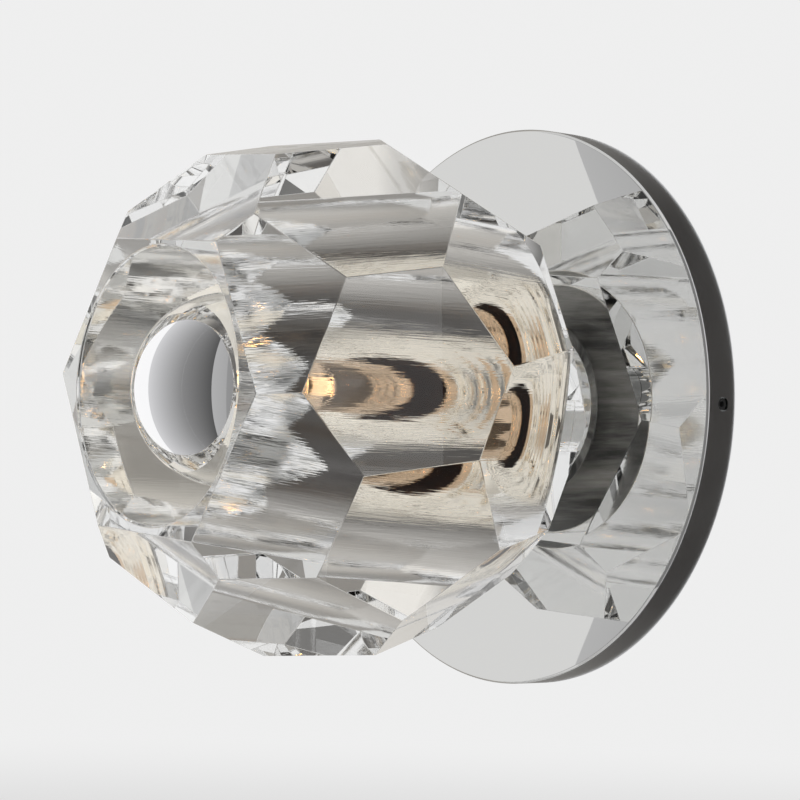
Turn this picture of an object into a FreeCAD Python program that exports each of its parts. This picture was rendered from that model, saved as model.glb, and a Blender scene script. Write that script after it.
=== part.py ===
"""Crystal wall sconce: a faceted crystal ball with a globe lamp in its bore, on a round back plate.

Every piece is drawn in one shared drawing frame and then turned to face the room: across and
up lie in the wall's plane, and reach is the distance out from the wall. In the finished part +Z
is up, -Y points out into the room, and the origin is on the wall at the middle of the plate.
"""
import FreeCAD, Part
import math
import os

import Sketcher

# Driving sizes in millimetres (angles in degrees).
SIZES = {
    # How far a cutting shape runs past what it cuts.
    "cut_spare": 1.0,
    # Back plate: a pressed cup, open towards the wall.
    "plate_radius": 76.2,
    "plate_depth": 10.0,
    "plate_wall": 1.5,
    "plate_bevel": 0.6,
    # Collar that carries the crystal off the plate.
    "collar_radius": 24.5,
    "collar_length": 10.8,
    "collar_wall": 1.5,
    "collar_end": 2.5,
    "collar_bevel": 0.6,
    "collar_pad": 0.5,
    "pad_inset": 0.8,
    # Crystal ball: hexagons and pentagons, with the two end facets ground closer in.
    "crystal_hexagon_reach": 63.5,
    "crystal_pentagon_reach": 64.3,
    "crystal_table_reach": 52.9,
    "crystal_turn": 4.3,
    "crystal_back_wall": 12.7,
    "bore_radius": 34.5,
    "bore_bevel": 0.5,
    "bush_wall": 1.9,
    "bush_clearance": 0.1,
    # Threaded tube, its nuts and washers.
    "tube_radius": 5.0,
    "tube_hole_radius": 3.5,
    "tube_end_spare": 0.2,
    "nut_half_width": 7.0,
    "nut_height": 2.0,
    "washer_radius": 8.0,
    "washer_thickness": 0.5,
    "thread_clearance": 0.05,
    "hole_clearance": 0.3,
    # Metalwork on the floor of the bore.
    "floor_pad": 0.8,
    "base_radius": 30.0,
    "base_thickness": 2.0,
    "bezel_radius": 34.0,
    "bezel_skirt_gap": 0.3,
    "bezel_step_width": 2.5,
    "bezel_step_height": 2.4,
    "bezel_height": 5.2,
    "bezel_wall": 1.6,
    "bezel_lip_height": 2.6,
    "bezel_lip_width": 3.0,
    "bezel_hole_radius": 18.0,
    "bezel_screw_circle": 24.6,
    "bezel_screw_turn": -42.0,
    "bezel_screw_radius": 1.5,
    "bezel_screw_head_radius": 2.7,
    "bezel_screw_head_height": 1.6,
    "screw_slot_width": 0.7,
    "screw_slot_depth": 0.7,
    "screw_tip_spare": 0.3,
    # Lampholder and the sleeve over it.
    "cap_radius": 13.2,
    "cap_wall": 1.2,
    "cap_floor": 2.4,
    "cap_cavity": 7.3,
    "cap_overlap": 1.4,
    "cap_bevel": 1.5,
    "body_fit": 0.1,
    "body_length": 24.0,
    "seat_floor": 3.4,
    "shell_hole_radius": 7.05,
    "shell_wall": 0.45,
    "shell_length": 16.4,
    "shell_foot_hole_radius": 5.2,
    "tongue_radius": 3.6,
    "tongue_thickness": 0.6,
    "tongue_rise": 0.4,
    "tongue_tip_radius": 1.6,
    "post_radius": 1.85,
    "post_length": 4.2,
    "post_depth": 3.0,
    "post_place": 9.3,
    "post_end_wall": 0.6,
    "skirt_clearance": 0.5,
    "sleeve_radius": 14.5,
    "sleeve_wall": 0.8,
    "sleeve_lip": 1.0,
    # Globe lamp with a small screw cap and a silvered crown.
    "lamp_tip_height": 1.4,
    "lamp_tip_radius": 2.4,
    "lamp_insulator_height": 3.2,
    "lamp_insulator_gap": 0.03,
    "lamp_screw_radius": 6.95,
    "lamp_screw_wall": 0.95,
    "lamp_screw_length": 12.4,
    "lamp_thread_pitch": 2.82,
    "lamp_thread_depth": 0.55,
    "lamp_thread_spare": 0.03,
    "lamp_thread_turns": 4,
    "lamp_skirt_radius": 8.2,
    "lamp_skirt_wall": 0.45,
    "lamp_skirt_length": 4.6,
    "lamp_flare_height": 1.2,
    "lamp_foot_thickness": 1.2,
    "glass_clearance": 0.15,
    "globe_radius": 24.9,
    "globe_wall": 1.0,
    "globe_rise": 32.3,
    "neck_radius": 7.6,
    "neck_curve": 5.0,
    "crown_angle": 58.0,
    "crown_thickness": 0.15,
    "crown_gap": 0.03,
    "stem_radius": 4.4,
    "stem_length": 17.0,
    "stem_button_radius": 5.0,
    "stem_button_height": 2.4,
    "stem_flare": 1.6,
    "wire_radius": 0.25,
    "wire_foot": 2.0,
    "filament_ring": 4.5,
    "filament_radius": 0.45,
    "filament_rise": 15.0,
    "filament_sweep": 300.0,
    "filament_gap": 0.03,
    # Wall bracket, its screws and the wiring behind the plate.
    "bracket_width": 25.4,
    "bracket_thickness": 2.0,
    "bracket_tab_thickness": 2.0,
    "bracket_tab_height": 7.0,
    "bracket_rim_gap": 0.3,
    "box_screw_spacing": 88.9,
    "box_slot_length": 8.0,
    "box_slot_width": 4.8,
    "rim_screw_radius": 1.5,
    "rim_screw_length": 6.0,
    "rim_screw_reach": 4.4,
    "rim_screw_recess": 0.5,
    "rim_screw_key": 0.75,
    "rim_screw_key_depth": 1.6,
    "block_place": 27.0,
    "block_length": 16.0,
    "block_pitch": 8.0,
    "block_margin": 3.6,
    "block_height": 5.6,
    "block_way_height": 2.6,
    "way_radius": 1.9,
    "way_hole_radius": 1.0,
    "way_screw_radius": 1.1,
    "way_screw_place": 4.6,
    "block_screw_radius": 1.0,
    "block_screw_head_radius": 1.8,
    "block_screw_head_height": 1.2,
    "earth_screw_place": 22.0,
    "earth_screw_side": 5.6,
    "earth_screw_radius": 2.0,
    "earth_screw_head_radius": 3.6,
    "earth_screw_head_height": 1.8,
    "earth_washer_radius": 4.4,
    "earth_washer_thickness": 0.8,
    # Insulated leads.
    "lead_radius": 0.9,
    "lead_place": 1.6,
    "lead_bend": 2.2,
    "lead_gap": 0.05,
    "lead_post_run": 4.38,
    "lead_stop": 1.0,
    "lead_nut_clearance": 3.2,
    "earth_lead_run": 2.0,
    "earth_lead_before": 5.0,
    "earth_lead_after": 3.0,
}

doc = FreeCAD.newDocument("crystal_wall_sconce")
sheet = doc.addObject("Spreadsheet::Sheet", "Sizes")


class Size:
    """A length or angle with the formula that keeps it in step with the sheet."""

    def __init__(self, value, formula):
        self.value = value
        self.formula = formula

    def __add__(self, other):
        other = as_size(other)
        return Size(self.value + other.value, f"({self.formula} + {other.formula})")

    def __sub__(self, other):
        other = as_size(other)
        return Size(self.value - other.value, f"({self.formula} - {other.formula})")

    def __mul__(self, other):
        other = as_size(other)
        return Size(self.value * other.value, f"({self.formula} * {other.formula})")

    def __truediv__(self, other):
        other = as_size(other)
        return Size(self.value / other.value, f"({self.formula} / {other.formula})")

    def __neg__(self):
        return Size(-self.value, f"(0 - {self.formula})")

    __radd__ = __add__
    __rmul__ = __mul__

    def __rsub__(self, other):
        return as_size(other) - self

    def root(self):
        return Size(math.sqrt(self.value), f"sqrt({self.formula})")

    def sine(self):
        return Size(math.sin(math.radians(self.value)), f"sin({self.formula})")

    def cosine(self):
        return Size(math.cos(math.radians(self.value)), f"cos({self.formula})")


def as_size(number):
    if isinstance(number, Size):
        return number
    return Size(float(number), f"({float(number)!r})")


def fill_sheet():
    """Write every driving size into the sheet and return them as Size values."""
    named = {}
    for row, (name, value) in enumerate(SIZES.items(), start=1):
        sheet.set(f"A{row}", name)
        sheet.set(f"B{row}", str(value))
        sheet.setAlias(f"B{row}", name)
        named[name] = Size(float(value), f"Sizes.{name}")
    doc.recompute()
    return named


class Named:
    """The driving sizes, read as size.plate_radius and so on."""

    def __init__(self, named):
        self.__dict__.update(named)


size = Named(fill_sheet())

# The drawing frame is turned so that reach becomes -Y and up becomes +Z.
FACING = FreeCAD.Placement(FreeCAD.Vector(), FreeCAD.Rotation(FreeCAD.Vector(1, 0, 0), 90))
OUTWARD = FreeCAD.Vector(0, 0, 1)
ZERO = as_size(0)


class Round:
    """Marks the side between two corners as an arc about the given centre."""

    def __init__(self, across, up, leftwards=True):
        self.across = as_size(across)
        self.up = as_size(up)
        self.leftwards = leftwards


def bind(thing, name, amount):
    """Tie one property of an object to the sheet."""
    thing.setExpression(name, as_size(amount).formula)


def new_body(label):
    body = doc.addObject("PartDesign::Body", label)
    body.Label = label
    body.Placement = FACING
    return body


def sketch_on(body, role, lift=None):
    """A sketch on one of the body's own planes, raised along that plane's normal."""
    sketch = body.newObject("Sketcher::SketchObject", body.Name + "_sketch")
    plane = [feature for feature in body.Origin.OriginFeatures if feature.Role == role][0]
    sketch.AttachmentSupport = [(plane, "")]
    sketch.MapMode = "FlatFace"
    if lift is not None:
        bind(sketch, "AttachmentOffset.Base.z", lift)
    return sketch


def hold(sketch, kind, item, point, amount):
    """Fix one coordinate of a sketch point, measured from the sketch's origin."""
    if amount.value == 0:
        axis = -2 if kind == "DistanceX" else -1
        sketch.addConstraint(Sketcher.Constraint("PointOnObject", item, point, axis))
        return
    if amount.value > 0:
        index = sketch.addConstraint(
            Sketcher.Constraint(kind, -1, 1, item, point, amount.value))
        sketch.setExpression(f"Constraints[{index}]", amount.formula)
        return
    index = sketch.addConstraint(Sketcher.Constraint(kind, item, point, -1, 1, -amount.value))
    sketch.setExpression(f"Constraints[{index}]", (-amount).formula)


def place_point(sketch, item, point, across, up):
    hold(sketch, "DistanceX", item, point, as_size(across))
    hold(sketch, "DistanceY", item, point, as_size(up))


def split_outline(items):
    """Corners of an outline, and for each corner the arc that leaves it, if any."""
    corners = [(as_size(item[0]), as_size(item[1])) for item in items if isinstance(item, tuple)]
    arcs = []
    for index, item in enumerate(items):
        if isinstance(item, tuple):
            following = items[(index + 1) % len(items)]
            arcs.append(following if isinstance(following, Round) else None)
    return corners, arcs


def add_outline(sketch, items):
    """A closed outline of straight and round sides, every corner tied to the sheet."""
    corners, arcs = split_outline(items)
    count = len(corners)
    first = sketch.GeometryCount
    ends = []
    for index in range(count):
        start = FreeCAD.Vector(corners[index][0].value, corners[index][1].value, 0)
        after = corners[(index + 1) % count]
        stop = FreeCAD.Vector(after[0].value, after[1].value, 0)
        arc = arcs[index]
        if arc is None:
            sketch.addGeometry(Part.LineSegment(start, stop))
            ends.append((1, 2))
            continue
        centre = FreeCAD.Vector(arc.across.value, arc.up.value, 0)
        circle = Part.Circle(centre, OUTWARD, (start - centre).Length)
        angles = [math.atan2((end - centre).y, (end - centre).x) for end in (start, stop)]
        if arc.leftwards:
            sketch.addGeometry(Part.ArcOfCircle(circle, angles[0], angles[1]))
            ends.append((1, 2))
        else:
            sketch.addGeometry(Part.ArcOfCircle(circle, angles[1], angles[0]))
            ends.append((2, 1))
    for index in range(count):
        item = first + index
        after = first + (index + 1) % count
        sketch.addConstraint(Sketcher.Constraint(
            "Coincident", item, ends[index][1], after, ends[(index + 1) % count][0]))
        place_point(sketch, item, ends[index][0], *corners[index])
    for index, arc in enumerate(arcs):
        if arc is None:
            continue
        chord_across = corners[(index + 1) % count][0].value - corners[index][0].value
        chord_up = corners[(index + 1) % count][1].value - corners[index][1].value
        if abs(chord_up) > abs(chord_across):
            hold(sketch, "DistanceX", first + index, 3, arc.across)
        else:
            hold(sketch, "DistanceY", first + index, 3, arc.up)


def add_circle(sketch, across, up, radius):
    across = as_size(across)
    up = as_size(up)
    centre = FreeCAD.Vector(across.value, up.value, 0)
    item = sketch.addGeometry(Part.Circle(centre, OUTWARD, radius.value))
    place_point(sketch, item, 3, across, up)
    index = sketch.addConstraint(Sketcher.Constraint("Radius", item, radius.value))
    sketch.setExpression(f"Constraints[{index}]", radius.formula)


def rectangle(low_across, high_across, low_up, high_up):
    return [(low_across, low_up), (high_across, low_up), (high_across, high_up),
            (low_across, high_up)]


def slot_outline(across, up, length, width):
    """A slot along the across direction with round ends."""
    half_width = width / 2
    half_run = (length - width) / 2
    return [(across - half_run, up - half_width), (across + half_run, up - half_width),
            Round(across + half_run, up), (across + half_run, up + half_width),
            (across - half_run, up + half_width), Round(across - half_run, up)]


def hexagon_outline(half_width):
    """A regular hexagon about the origin, half_width from its middle to each flat."""
    corner = half_width * (1 / math.cos(math.radians(30)))
    outline = []
    for step in range(6):
        angle = math.radians(60 * step)
        outline.append((corner * round(math.cos(angle), 9), corner * round(math.sin(angle), 9)))
    return outline


def turned(label, items, angle=360.0):
    """A body turned about the reach axis from an outline of (radius, reach) corners."""
    body = new_body(label)
    sketch = sketch_on(body, "XZ_Plane")
    add_outline(sketch, items)
    turn = body.newObject("PartDesign::Revolution", label + "_turn")
    turn.Profile = sketch
    turn.ReferenceAxis = (sketch, ["V_Axis"])
    turn.Angle = angle
    doc.recompute()
    return body


def add_pad(body, sketch, length, backwards=False):
    pad = body.newObject("PartDesign::Pad", body.Name + "_pad")
    pad.Profile = sketch
    bind(pad, "Length", length)
    pad.Reversed = backwards
    doc.recompute()
    return pad


def add_pocket(body, sketch, length=None, both_ways=False):
    """Cut a sketch into the body; with no length the cut goes right through."""
    before = body.Tip.Shape.Volume
    pocket = body.newObject("PartDesign::Pocket", body.Name + "_pocket")
    pocket.Profile = sketch
    if length is None:
        pocket.Type = "ThroughAll"
    else:
        bind(pocket, "Length", length)
    if both_ways:
        pocket.SideType = "Symmetric"
    doc.recompute()
    if pocket.Shape.Volume >= before:
        raise SystemExit(f"{pocket.Name} cuts nothing")
    return pocket


def repeat_round(body, feature, count, angle=360.0):
    """Repeat a feature round the reach axis."""
    pattern = body.newObject("PartDesign::PolarPattern", body.Name + "_round")
    pattern.Originals = [feature]
    axis = [item for item in body.Origin.OriginFeatures if item.Role == "Z_Axis"][0]
    pattern.Axis = (axis, [""])
    pattern.Angle = angle
    pattern.Occurrences = count
    body.Tip = pattern
    doc.recompute()
    return pattern


def repeat_along(body, feature, role, length, count=2):
    """Repeat a feature along one of the body's axes, length being the whole run."""
    pattern = body.newObject("PartDesign::LinearPattern", body.Name + "_row")
    pattern.Originals = [feature]
    axis = [item for item in body.Origin.OriginFeatures if item.Role == role][0]
    pattern.Direction = (axis, [""])
    bind(pattern, "Length", length)
    pattern.Occurrences = count
    body.Tip = pattern
    doc.recompute()
    return pattern


def ring_outline(inner, outer, start, stop):
    return rectangle(as_size(inner), as_size(outer), as_size(start), as_size(stop))


# Places along the reach axis, from the wall outwards.
plate_front = size.plate_depth
plate_inside = size.plate_depth - size.plate_wall
collar_top = plate_front + size.collar_length
crystal_back = collar_top + size.collar_pad
crystal_centre = crystal_back + size.crystal_table_reach
crystal_front = crystal_centre + size.crystal_table_reach
bore_floor = crystal_back + size.crystal_back_wall
pad_top = bore_floor + size.floor_pad
base_top = pad_top + size.base_thickness
back_nut_start = plate_inside - size.washer_thickness - size.nut_height
front_nut_start = base_top + size.washer_thickness
front_nut_top = front_nut_start + size.nut_height
tube_start = back_nut_start - size.tube_end_spare
cap_inside = front_nut_top + size.cap_floor
tube_top = cap_inside
body_back = cap_inside + size.cap_cavity
cap_top = body_back + size.cap_overlap
body_front = body_back + size.body_length
seat = body_back + size.seat_floor
shell_top = seat + size.shell_length
tongue_tip = seat + size.tongue_thickness + size.tongue_rise
bezel_step = pad_top + size.bezel_step_height
bezel_face = pad_top + size.bezel_height
bezel_lip = bezel_face + size.bezel_lip_height
bezel_under = bezel_face - size.bezel_wall
lamp_tip_top = tongue_tip + size.lamp_tip_height
lamp_insulator_top = lamp_tip_top + size.lamp_insulator_height
lamp_screw_start = lamp_insulator_top - size.lamp_screw_wall
lamp_screw_top = lamp_screw_start + size.lamp_screw_length
lamp_flare_top = lamp_screw_top + size.lamp_flare_height
lamp_skirt_top = lamp_flare_top + size.lamp_skirt_length
lamp_foot_top = lamp_flare_top + size.lamp_foot_thickness
globe_centre = lamp_foot_top + size.globe_rise
stem_top = lamp_foot_top + size.stem_length
stem_button_top = stem_top + size.stem_button_height
filament_reach = stem_button_top + size.filament_rise
tube_hole = size.tube_radius + size.thread_clearance
clear_hole = size.tube_radius + size.hole_clearance


def make_back_plate():
    edge = size.plate_radius
    inner = edge - size.plate_wall
    plate = turned("back_plate", [
        (inner, ZERO), (edge, ZERO), (edge, plate_front - size.plate_bevel),
        (edge - size.plate_bevel, plate_front), (clear_hole, plate_front),
        (clear_hole, plate_inside), (inner, plate_inside)])
    sketch = sketch_on(plate, "YZ_Plane")
    add_circle(sketch, ZERO, size.rim_screw_reach, size.rim_screw_radius + size.hole_clearance)
    add_pocket(plate, sketch, both_ways=True)
    return plate


def make_collar():
    outer = size.collar_radius
    inner = outer - size.collar_wall
    under = collar_top - size.collar_end
    return turned("collar", [
        (inner, plate_front), (outer, plate_front), (outer, collar_top - size.collar_bevel),
        (outer - size.collar_bevel, collar_top), (clear_hole, collar_top), (clear_hole, under),
        (inner, under)])


def make_pads():
    collar_pad = turned("collar_pad", ring_outline(
        bush_outer() + size.hole_clearance, size.collar_radius - size.pad_inset,
        collar_top, crystal_back))
    floor_pad = turned("bore_floor_pad", ring_outline(
        bush_outer() + size.hole_clearance, size.bezel_radius, bore_floor, pad_top))
    return [collar_pad, floor_pad]


def bush_outer():
    return size.tube_radius + size.thread_clearance + size.bush_wall


def make_bush():
    return turned("crystal_bush", ring_outline(tube_hole, bush_outer(), crystal_back, bore_floor))


def solid_directions():
    """Facet directions of the ball: through the faces and the corners of an icosahedron."""
    golden = (1 + math.sqrt(5)) / 2
    corners = []
    for short in (-1, 1):
        for long in (-golden, golden):
            corners += [(0, short, long), (short, long, 0), (long, 0, short)]
    corners = [FreeCAD.Vector(*corner) for corner in corners]
    faces = []
    for first in range(12):
        for second in range(first + 1, 12):
            for third in range(second + 1, 12):
                trio = [corners[first], corners[second], corners[third]]
                gaps = [(trio[i] - trio[i - 1]).Length for i in range(3)]
                if max(gaps) < 2.01:
                    faces.append(trio)
    return faces, corners


def one_of_each_pair(directions):
    """Opposite facets share one slab, so keep one direction of each opposite pair."""
    kept = []
    for direction in directions:
        if all(direction.dot(other) > -0.999 for other in kept):
            kept.append(direction)
    return kept


def add_slab(number, direction, reach):
    """A square slab about the origin, its two faces at reach along the direction."""
    slab = doc.addObject("Part::Wedge", f"facet_pair_{number}")
    half = size.crystal_pentagon_reach + size.crystal_hexagon_reach
    for name in ("Xmax", "X2max", "Ymax"):
        bind(slab, name, half)
    for name in ("Xmin", "X2min", "Ymin"):
        bind(slab, name, -half)
    for name in ("Zmax", "Z2max"):
        bind(slab, name, reach)
    for name in ("Zmin", "Z2min"):
        bind(slab, name, -reach)
    slab.Placement = FreeCAD.Placement(
        FreeCAD.Vector(), FreeCAD.Rotation(OUTWARD, direction))
    return slab


def make_crystal():
    """The faceted ball with the lamp's bore sunk in from the front and a hole for the tube."""
    faces, corners = solid_directions()
    front = (faces[0][0] + faces[0][1] + faces[0][2]).normalize()
    side_middle = (faces[0][0] + faces[0][1]) * 0.5
    up = (side_middle - front * side_middle.dot(front)).normalize()
    across = up.cross(front)

    def in_drawing(direction):
        return FreeCAD.Vector(
            direction.dot(across), direction.dot(up), direction.dot(front)).normalize()

    hexagons = one_of_each_pair([in_drawing(trio[0] + trio[1] + trio[2]) for trio in faces])
    pentagons = one_of_each_pair([in_drawing(corner) for corner in corners])
    slabs = []
    for direction in hexagons:
        is_table = abs(direction.z) > 0.999
        reach = size.crystal_table_reach if is_table else size.crystal_hexagon_reach
        slabs.append(add_slab(len(slabs), direction, reach))
    for direction in pentagons:
        slabs.append(add_slab(len(slabs), direction, size.crystal_pentagon_reach))
    blank = doc.addObject("Part::MultiCommon", "crystal_blank")
    blank.Shapes = slabs
    blank.Placement.Rotation = FreeCAD.Rotation(OUTWARD, -1)
    bind(blank, "Placement.Base.z", crystal_centre)
    bind(blank, "Placement.Rotation.Yaw", -size.crystal_turn)

    bore = doc.addObject("Part::Cylinder", "crystal_bore")
    bind(bore, "Radius", size.bore_radius)
    bind(bore, "Height", crystal_front - bore_floor + size.cut_spare)
    bind(bore, "Placement.Base.z", bore_floor)
    neck = doc.addObject("Part::Cylinder", "crystal_neck_hole")
    bind(neck, "Radius", bush_outer() + size.bush_clearance)
    bind(neck, "Height", size.crystal_back_wall + size.cut_spare * 2)
    bind(neck, "Placement.Base.z", crystal_back - size.cut_spare)
    bevel = doc.addObject("Part::Cone", "crystal_mouth_bevel")
    bind(bevel, "Radius1", size.bore_radius)
    bind(bevel, "Radius2", size.bore_radius + size.bore_bevel + size.cut_spare)
    bind(bevel, "Height", size.bore_bevel + size.cut_spare)
    bind(bevel, "Placement.Base.z", crystal_front - size.bore_bevel)
    tools = doc.addObject("Part::MultiFuse", "crystal_tools")
    tools.Shapes = [bore, neck, bevel]
    ball = doc.addObject("Part::Cut", "crystal_ball")
    ball.Label = "crystal_ball"
    ball.Base = blank
    ball.Tool = tools
    ball.Placement = FACING
    doc.recompute()
    return ball


def make_tube():
    return turned("threaded_tube", ring_outline(
        size.tube_hole_radius, size.tube_radius, tube_start, tube_top))


def make_nuts():
    """One nut behind the plate and one inside the bore, on the same tube."""
    nuts = new_body("tube_nuts")
    sketch = sketch_on(nuts, "XY_Plane", back_nut_start)
    add_outline(sketch, hexagon_outline(size.nut_half_width))
    add_circle(sketch, ZERO, ZERO, tube_hole)
    pad = add_pad(nuts, sketch, size.nut_height)
    repeat_along(nuts, pad, "Z_Axis", front_nut_start - back_nut_start)
    return nuts


def make_washers():
    """The back washer lies between nut and plate, the front one between base and nut."""
    washers = new_body("tube_washers")
    sketch = sketch_on(washers, "XY_Plane", back_nut_start + size.nut_height)
    add_circle(sketch, ZERO, ZERO, size.washer_radius)
    add_circle(sketch, ZERO, ZERO, clear_hole)
    pad = add_pad(washers, sketch, size.washer_thickness)
    repeat_along(washers, pad, "Z_Axis", base_top - back_nut_start - size.nut_height)
    return washers


def screw_spot():
    """Across and up of the first screw on the bezel's screw circle."""
    return (size.bezel_screw_circle * size.bezel_screw_turn.cosine(),
            size.bezel_screw_circle * size.bezel_screw_turn.sine())


def make_base_plate():
    base = turned("base_plate", ring_outline(clear_hole, size.base_radius, pad_top, base_top))
    sketch = sketch_on(base, "XY_Plane", base_top)
    add_circle(sketch, *screw_spot(), size.bezel_screw_radius + size.thread_clearance)
    pocket = add_pocket(base, sketch)
    repeat_round(base, pocket, 2)
    return base


def make_bezel():
    """Stepped ring round the sleeve: a skirt on the pad, a flat face and a raised lip."""
    skirt = size.base_radius + size.bezel_skirt_gap
    step = size.bezel_radius - size.bezel_step_width
    lip = size.bezel_hole_radius + size.bezel_lip_width
    bezel = turned("bezel_ring", [
        (skirt, pad_top), (size.bezel_radius, pad_top), (size.bezel_radius, bezel_step),
        (step, bezel_step), (step, bezel_face), (lip, bezel_face), (lip, bezel_lip),
        (size.bezel_hole_radius, bezel_lip), (size.bezel_hole_radius, bezel_under),
        (skirt, bezel_under)])
    sketch = sketch_on(bezel, "XY_Plane", bezel_face)
    add_circle(sketch, *screw_spot(), size.bezel_screw_radius + size.hole_clearance)
    pocket = add_pocket(bezel, sketch)
    repeat_round(bezel, pocket, 2)
    return bezel


def make_bezel_screws():
    """Two pan-head screws with a slot, on opposite sides of the bezel."""
    screws = new_body("bezel_screws")
    spot = screw_spot()
    head_top = bezel_face + size.bezel_screw_head_height
    shank_sketch = sketch_on(screws, "XY_Plane", pad_top + size.screw_tip_spare)
    add_circle(shank_sketch, *spot, size.bezel_screw_radius)
    shank = add_pad(screws, shank_sketch, bezel_face - pad_top - size.screw_tip_spare)
    head_sketch = sketch_on(screws, "XY_Plane", bezel_face)
    add_circle(head_sketch, *spot, size.bezel_screw_head_radius)
    head = add_pad(screws, head_sketch, size.bezel_screw_head_height)
    slot_sketch = sketch_on(screws, "XY_Plane", head_top)
    reach = size.bezel_screw_head_radius + size.cut_spare
    half_slot = size.screw_slot_width / 2
    add_outline(slot_sketch, rectangle(spot[0] - reach, spot[0] + reach,
                                       spot[1] - half_slot, spot[1] + half_slot))
    slot = add_pocket(screws, slot_sketch, size.screw_slot_depth)
    pattern = repeat_round(screws, shank, 2)
    pattern.Originals = [shank, head, slot]
    doc.recompute()
    return screws


def make_holder_cap():
    outer = size.cap_radius
    inner = outer - size.cap_wall
    return turned("lampholder_cap", [
        (tube_hole, front_nut_top), (outer - size.cap_bevel, front_nut_top),
        (outer, front_nut_top + size.cap_bevel), (outer, cap_top), (inner, cap_top),
        (inner, cap_inside), (tube_hole, cap_inside)])


def make_holder_body():
    """Ceramic body: a spigot in the cap, a deep well for the shell and a wider mouth."""
    spigot = size.cap_radius - size.cap_wall - size.body_fit
    well = size.shell_hole_radius + size.shell_wall + size.thread_clearance
    mouth = size.lamp_skirt_radius + size.skirt_clearance
    body = turned("lampholder_body", [
        (ZERO, body_back), (spigot, body_back), (spigot, cap_top), (size.cap_radius, cap_top),
        (size.cap_radius, body_front), (mouth, body_front), (mouth, shell_top),
        (well, shell_top), (well, seat), (ZERO, seat)])
    sketch = sketch_on(body, "XY_Plane", body_back + size.post_depth)
    for side in (-1, 1):
        add_circle(sketch, ZERO, size.post_place * side, size.post_radius + size.thread_clearance)
    add_pocket(body, sketch, size.post_depth)
    return body


def make_holder_shell():
    outer = size.shell_hole_radius + size.shell_wall
    foot_top = seat + size.shell_wall
    return turned("lampholder_shell", [
        (size.shell_foot_hole_radius, seat), (outer, seat), (outer, shell_top),
        (size.shell_hole_radius, shell_top), (size.shell_hole_radius, foot_top),
        (size.shell_foot_hole_radius, foot_top)])


def make_holder_tongue():
    top = seat + size.tongue_thickness
    return turned("lampholder_tongue", [
        (ZERO, seat), (size.tongue_radius, seat), (size.tongue_radius, top),
        (size.tongue_tip_radius, tongue_tip), (ZERO, tongue_tip)])


def make_holder_posts():
    """Two wiring posts in the back of the lampholder, each with a hole for its lead."""
    posts = new_body("lampholder_posts")
    start = body_back + size.post_depth - size.post_length
    sketch = sketch_on(posts, "XY_Plane", start)
    add_circle(sketch, ZERO, size.post_place, size.post_radius)
    pad = add_pad(posts, sketch, size.post_length)
    hole_sketch = sketch_on(posts, "XY_Plane", lead_post_end())
    add_circle(hole_sketch, ZERO, size.post_place, size.lead_radius + size.lead_gap)
    hole = add_pocket(posts, hole_sketch, lead_post_end() - start)
    pattern = repeat_round(posts, pad, 2)
    pattern.Originals = [pad, hole]
    doc.recompute()
    return posts


def lead_post_end():
    return body_back + size.post_depth - size.post_end_wall


def make_sleeve():
    """Polished sleeve over the lampholder, its front turned in over the ceramic."""
    outer = size.sleeve_radius
    inner = outer - size.sleeve_wall
    lip_hole = size.lamp_skirt_radius + size.skirt_clearance
    front = body_front + size.sleeve_lip
    return turned("lamp_sleeve", [
        (inner, base_top), (outer, base_top), (outer, front - size.sleeve_lip / 2),
        (outer - size.sleeve_lip / 2, front), (lip_hole, front), (lip_hole, body_front),
        (inner, body_front)])


def make_lamp_tip():
    top = tongue_tip + size.lamp_tip_height
    return turned("lamp_tip", [
        (ZERO, tongue_tip), (size.lamp_tip_radius / 2, tongue_tip),
        (size.lamp_tip_radius, tongue_tip + size.lamp_tip_height / 2),
        (size.lamp_tip_radius, top), (ZERO, top)])


def make_lamp_insulator():
    """Black glass cone between the tip and the screw shell, filling the shell's end."""
    inner = size.lamp_screw_radius - size.lamp_screw_wall
    return turned("lamp_insulator", [
        (ZERO, lamp_tip_top), (size.lamp_tip_radius, lamp_tip_top),
        (inner - size.lamp_insulator_gap, lamp_screw_start),
        (inner - size.lamp_insulator_gap, lamp_insulator_top), (ZERO, lamp_insulator_top)])


def make_lamp_screw():
    """Screw shell of the lamp with rolled thread grooves and a skirt round the glass neck."""
    crest = size.lamp_screw_radius
    inner = crest - size.lamp_screw_wall
    skirt = size.lamp_skirt_radius
    skirt_inner = skirt - size.lamp_skirt_wall
    shell = turned("lamp_screw_shell", [
        (inner, lamp_screw_start), (crest, lamp_screw_start), (crest, lamp_screw_top),
        (skirt, lamp_flare_top), (skirt, lamp_skirt_top), (skirt_inner, lamp_skirt_top),
        (skirt_inner, lamp_flare_top), (inner, lamp_flare_top)])
    half_pitch = size.lamp_thread_pitch / 2
    groove_start = lamp_screw_start + size.lamp_thread_pitch / 4
    groove_sketch = sketch_on(shell, "XZ_Plane")
    add_outline(groove_sketch, [
        (crest + size.lamp_thread_spare, groove_start),
        (crest + size.lamp_thread_spare, groove_start + half_pitch),
        (crest - size.lamp_thread_depth, groove_start + half_pitch / 2)])
    groove = shell.newObject("PartDesign::Groove", "thread_groove")
    groove.Profile = groove_sketch
    groove.ReferenceAxis = (groove_sketch, ["V_Axis"])
    groove.Angle = 360.0
    doc.recompute()
    turns = SIZES["lamp_thread_turns"]
    repeat_along(shell, groove, "Z_Axis", size.lamp_thread_pitch * (turns - 1), turns)
    return shell


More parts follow.
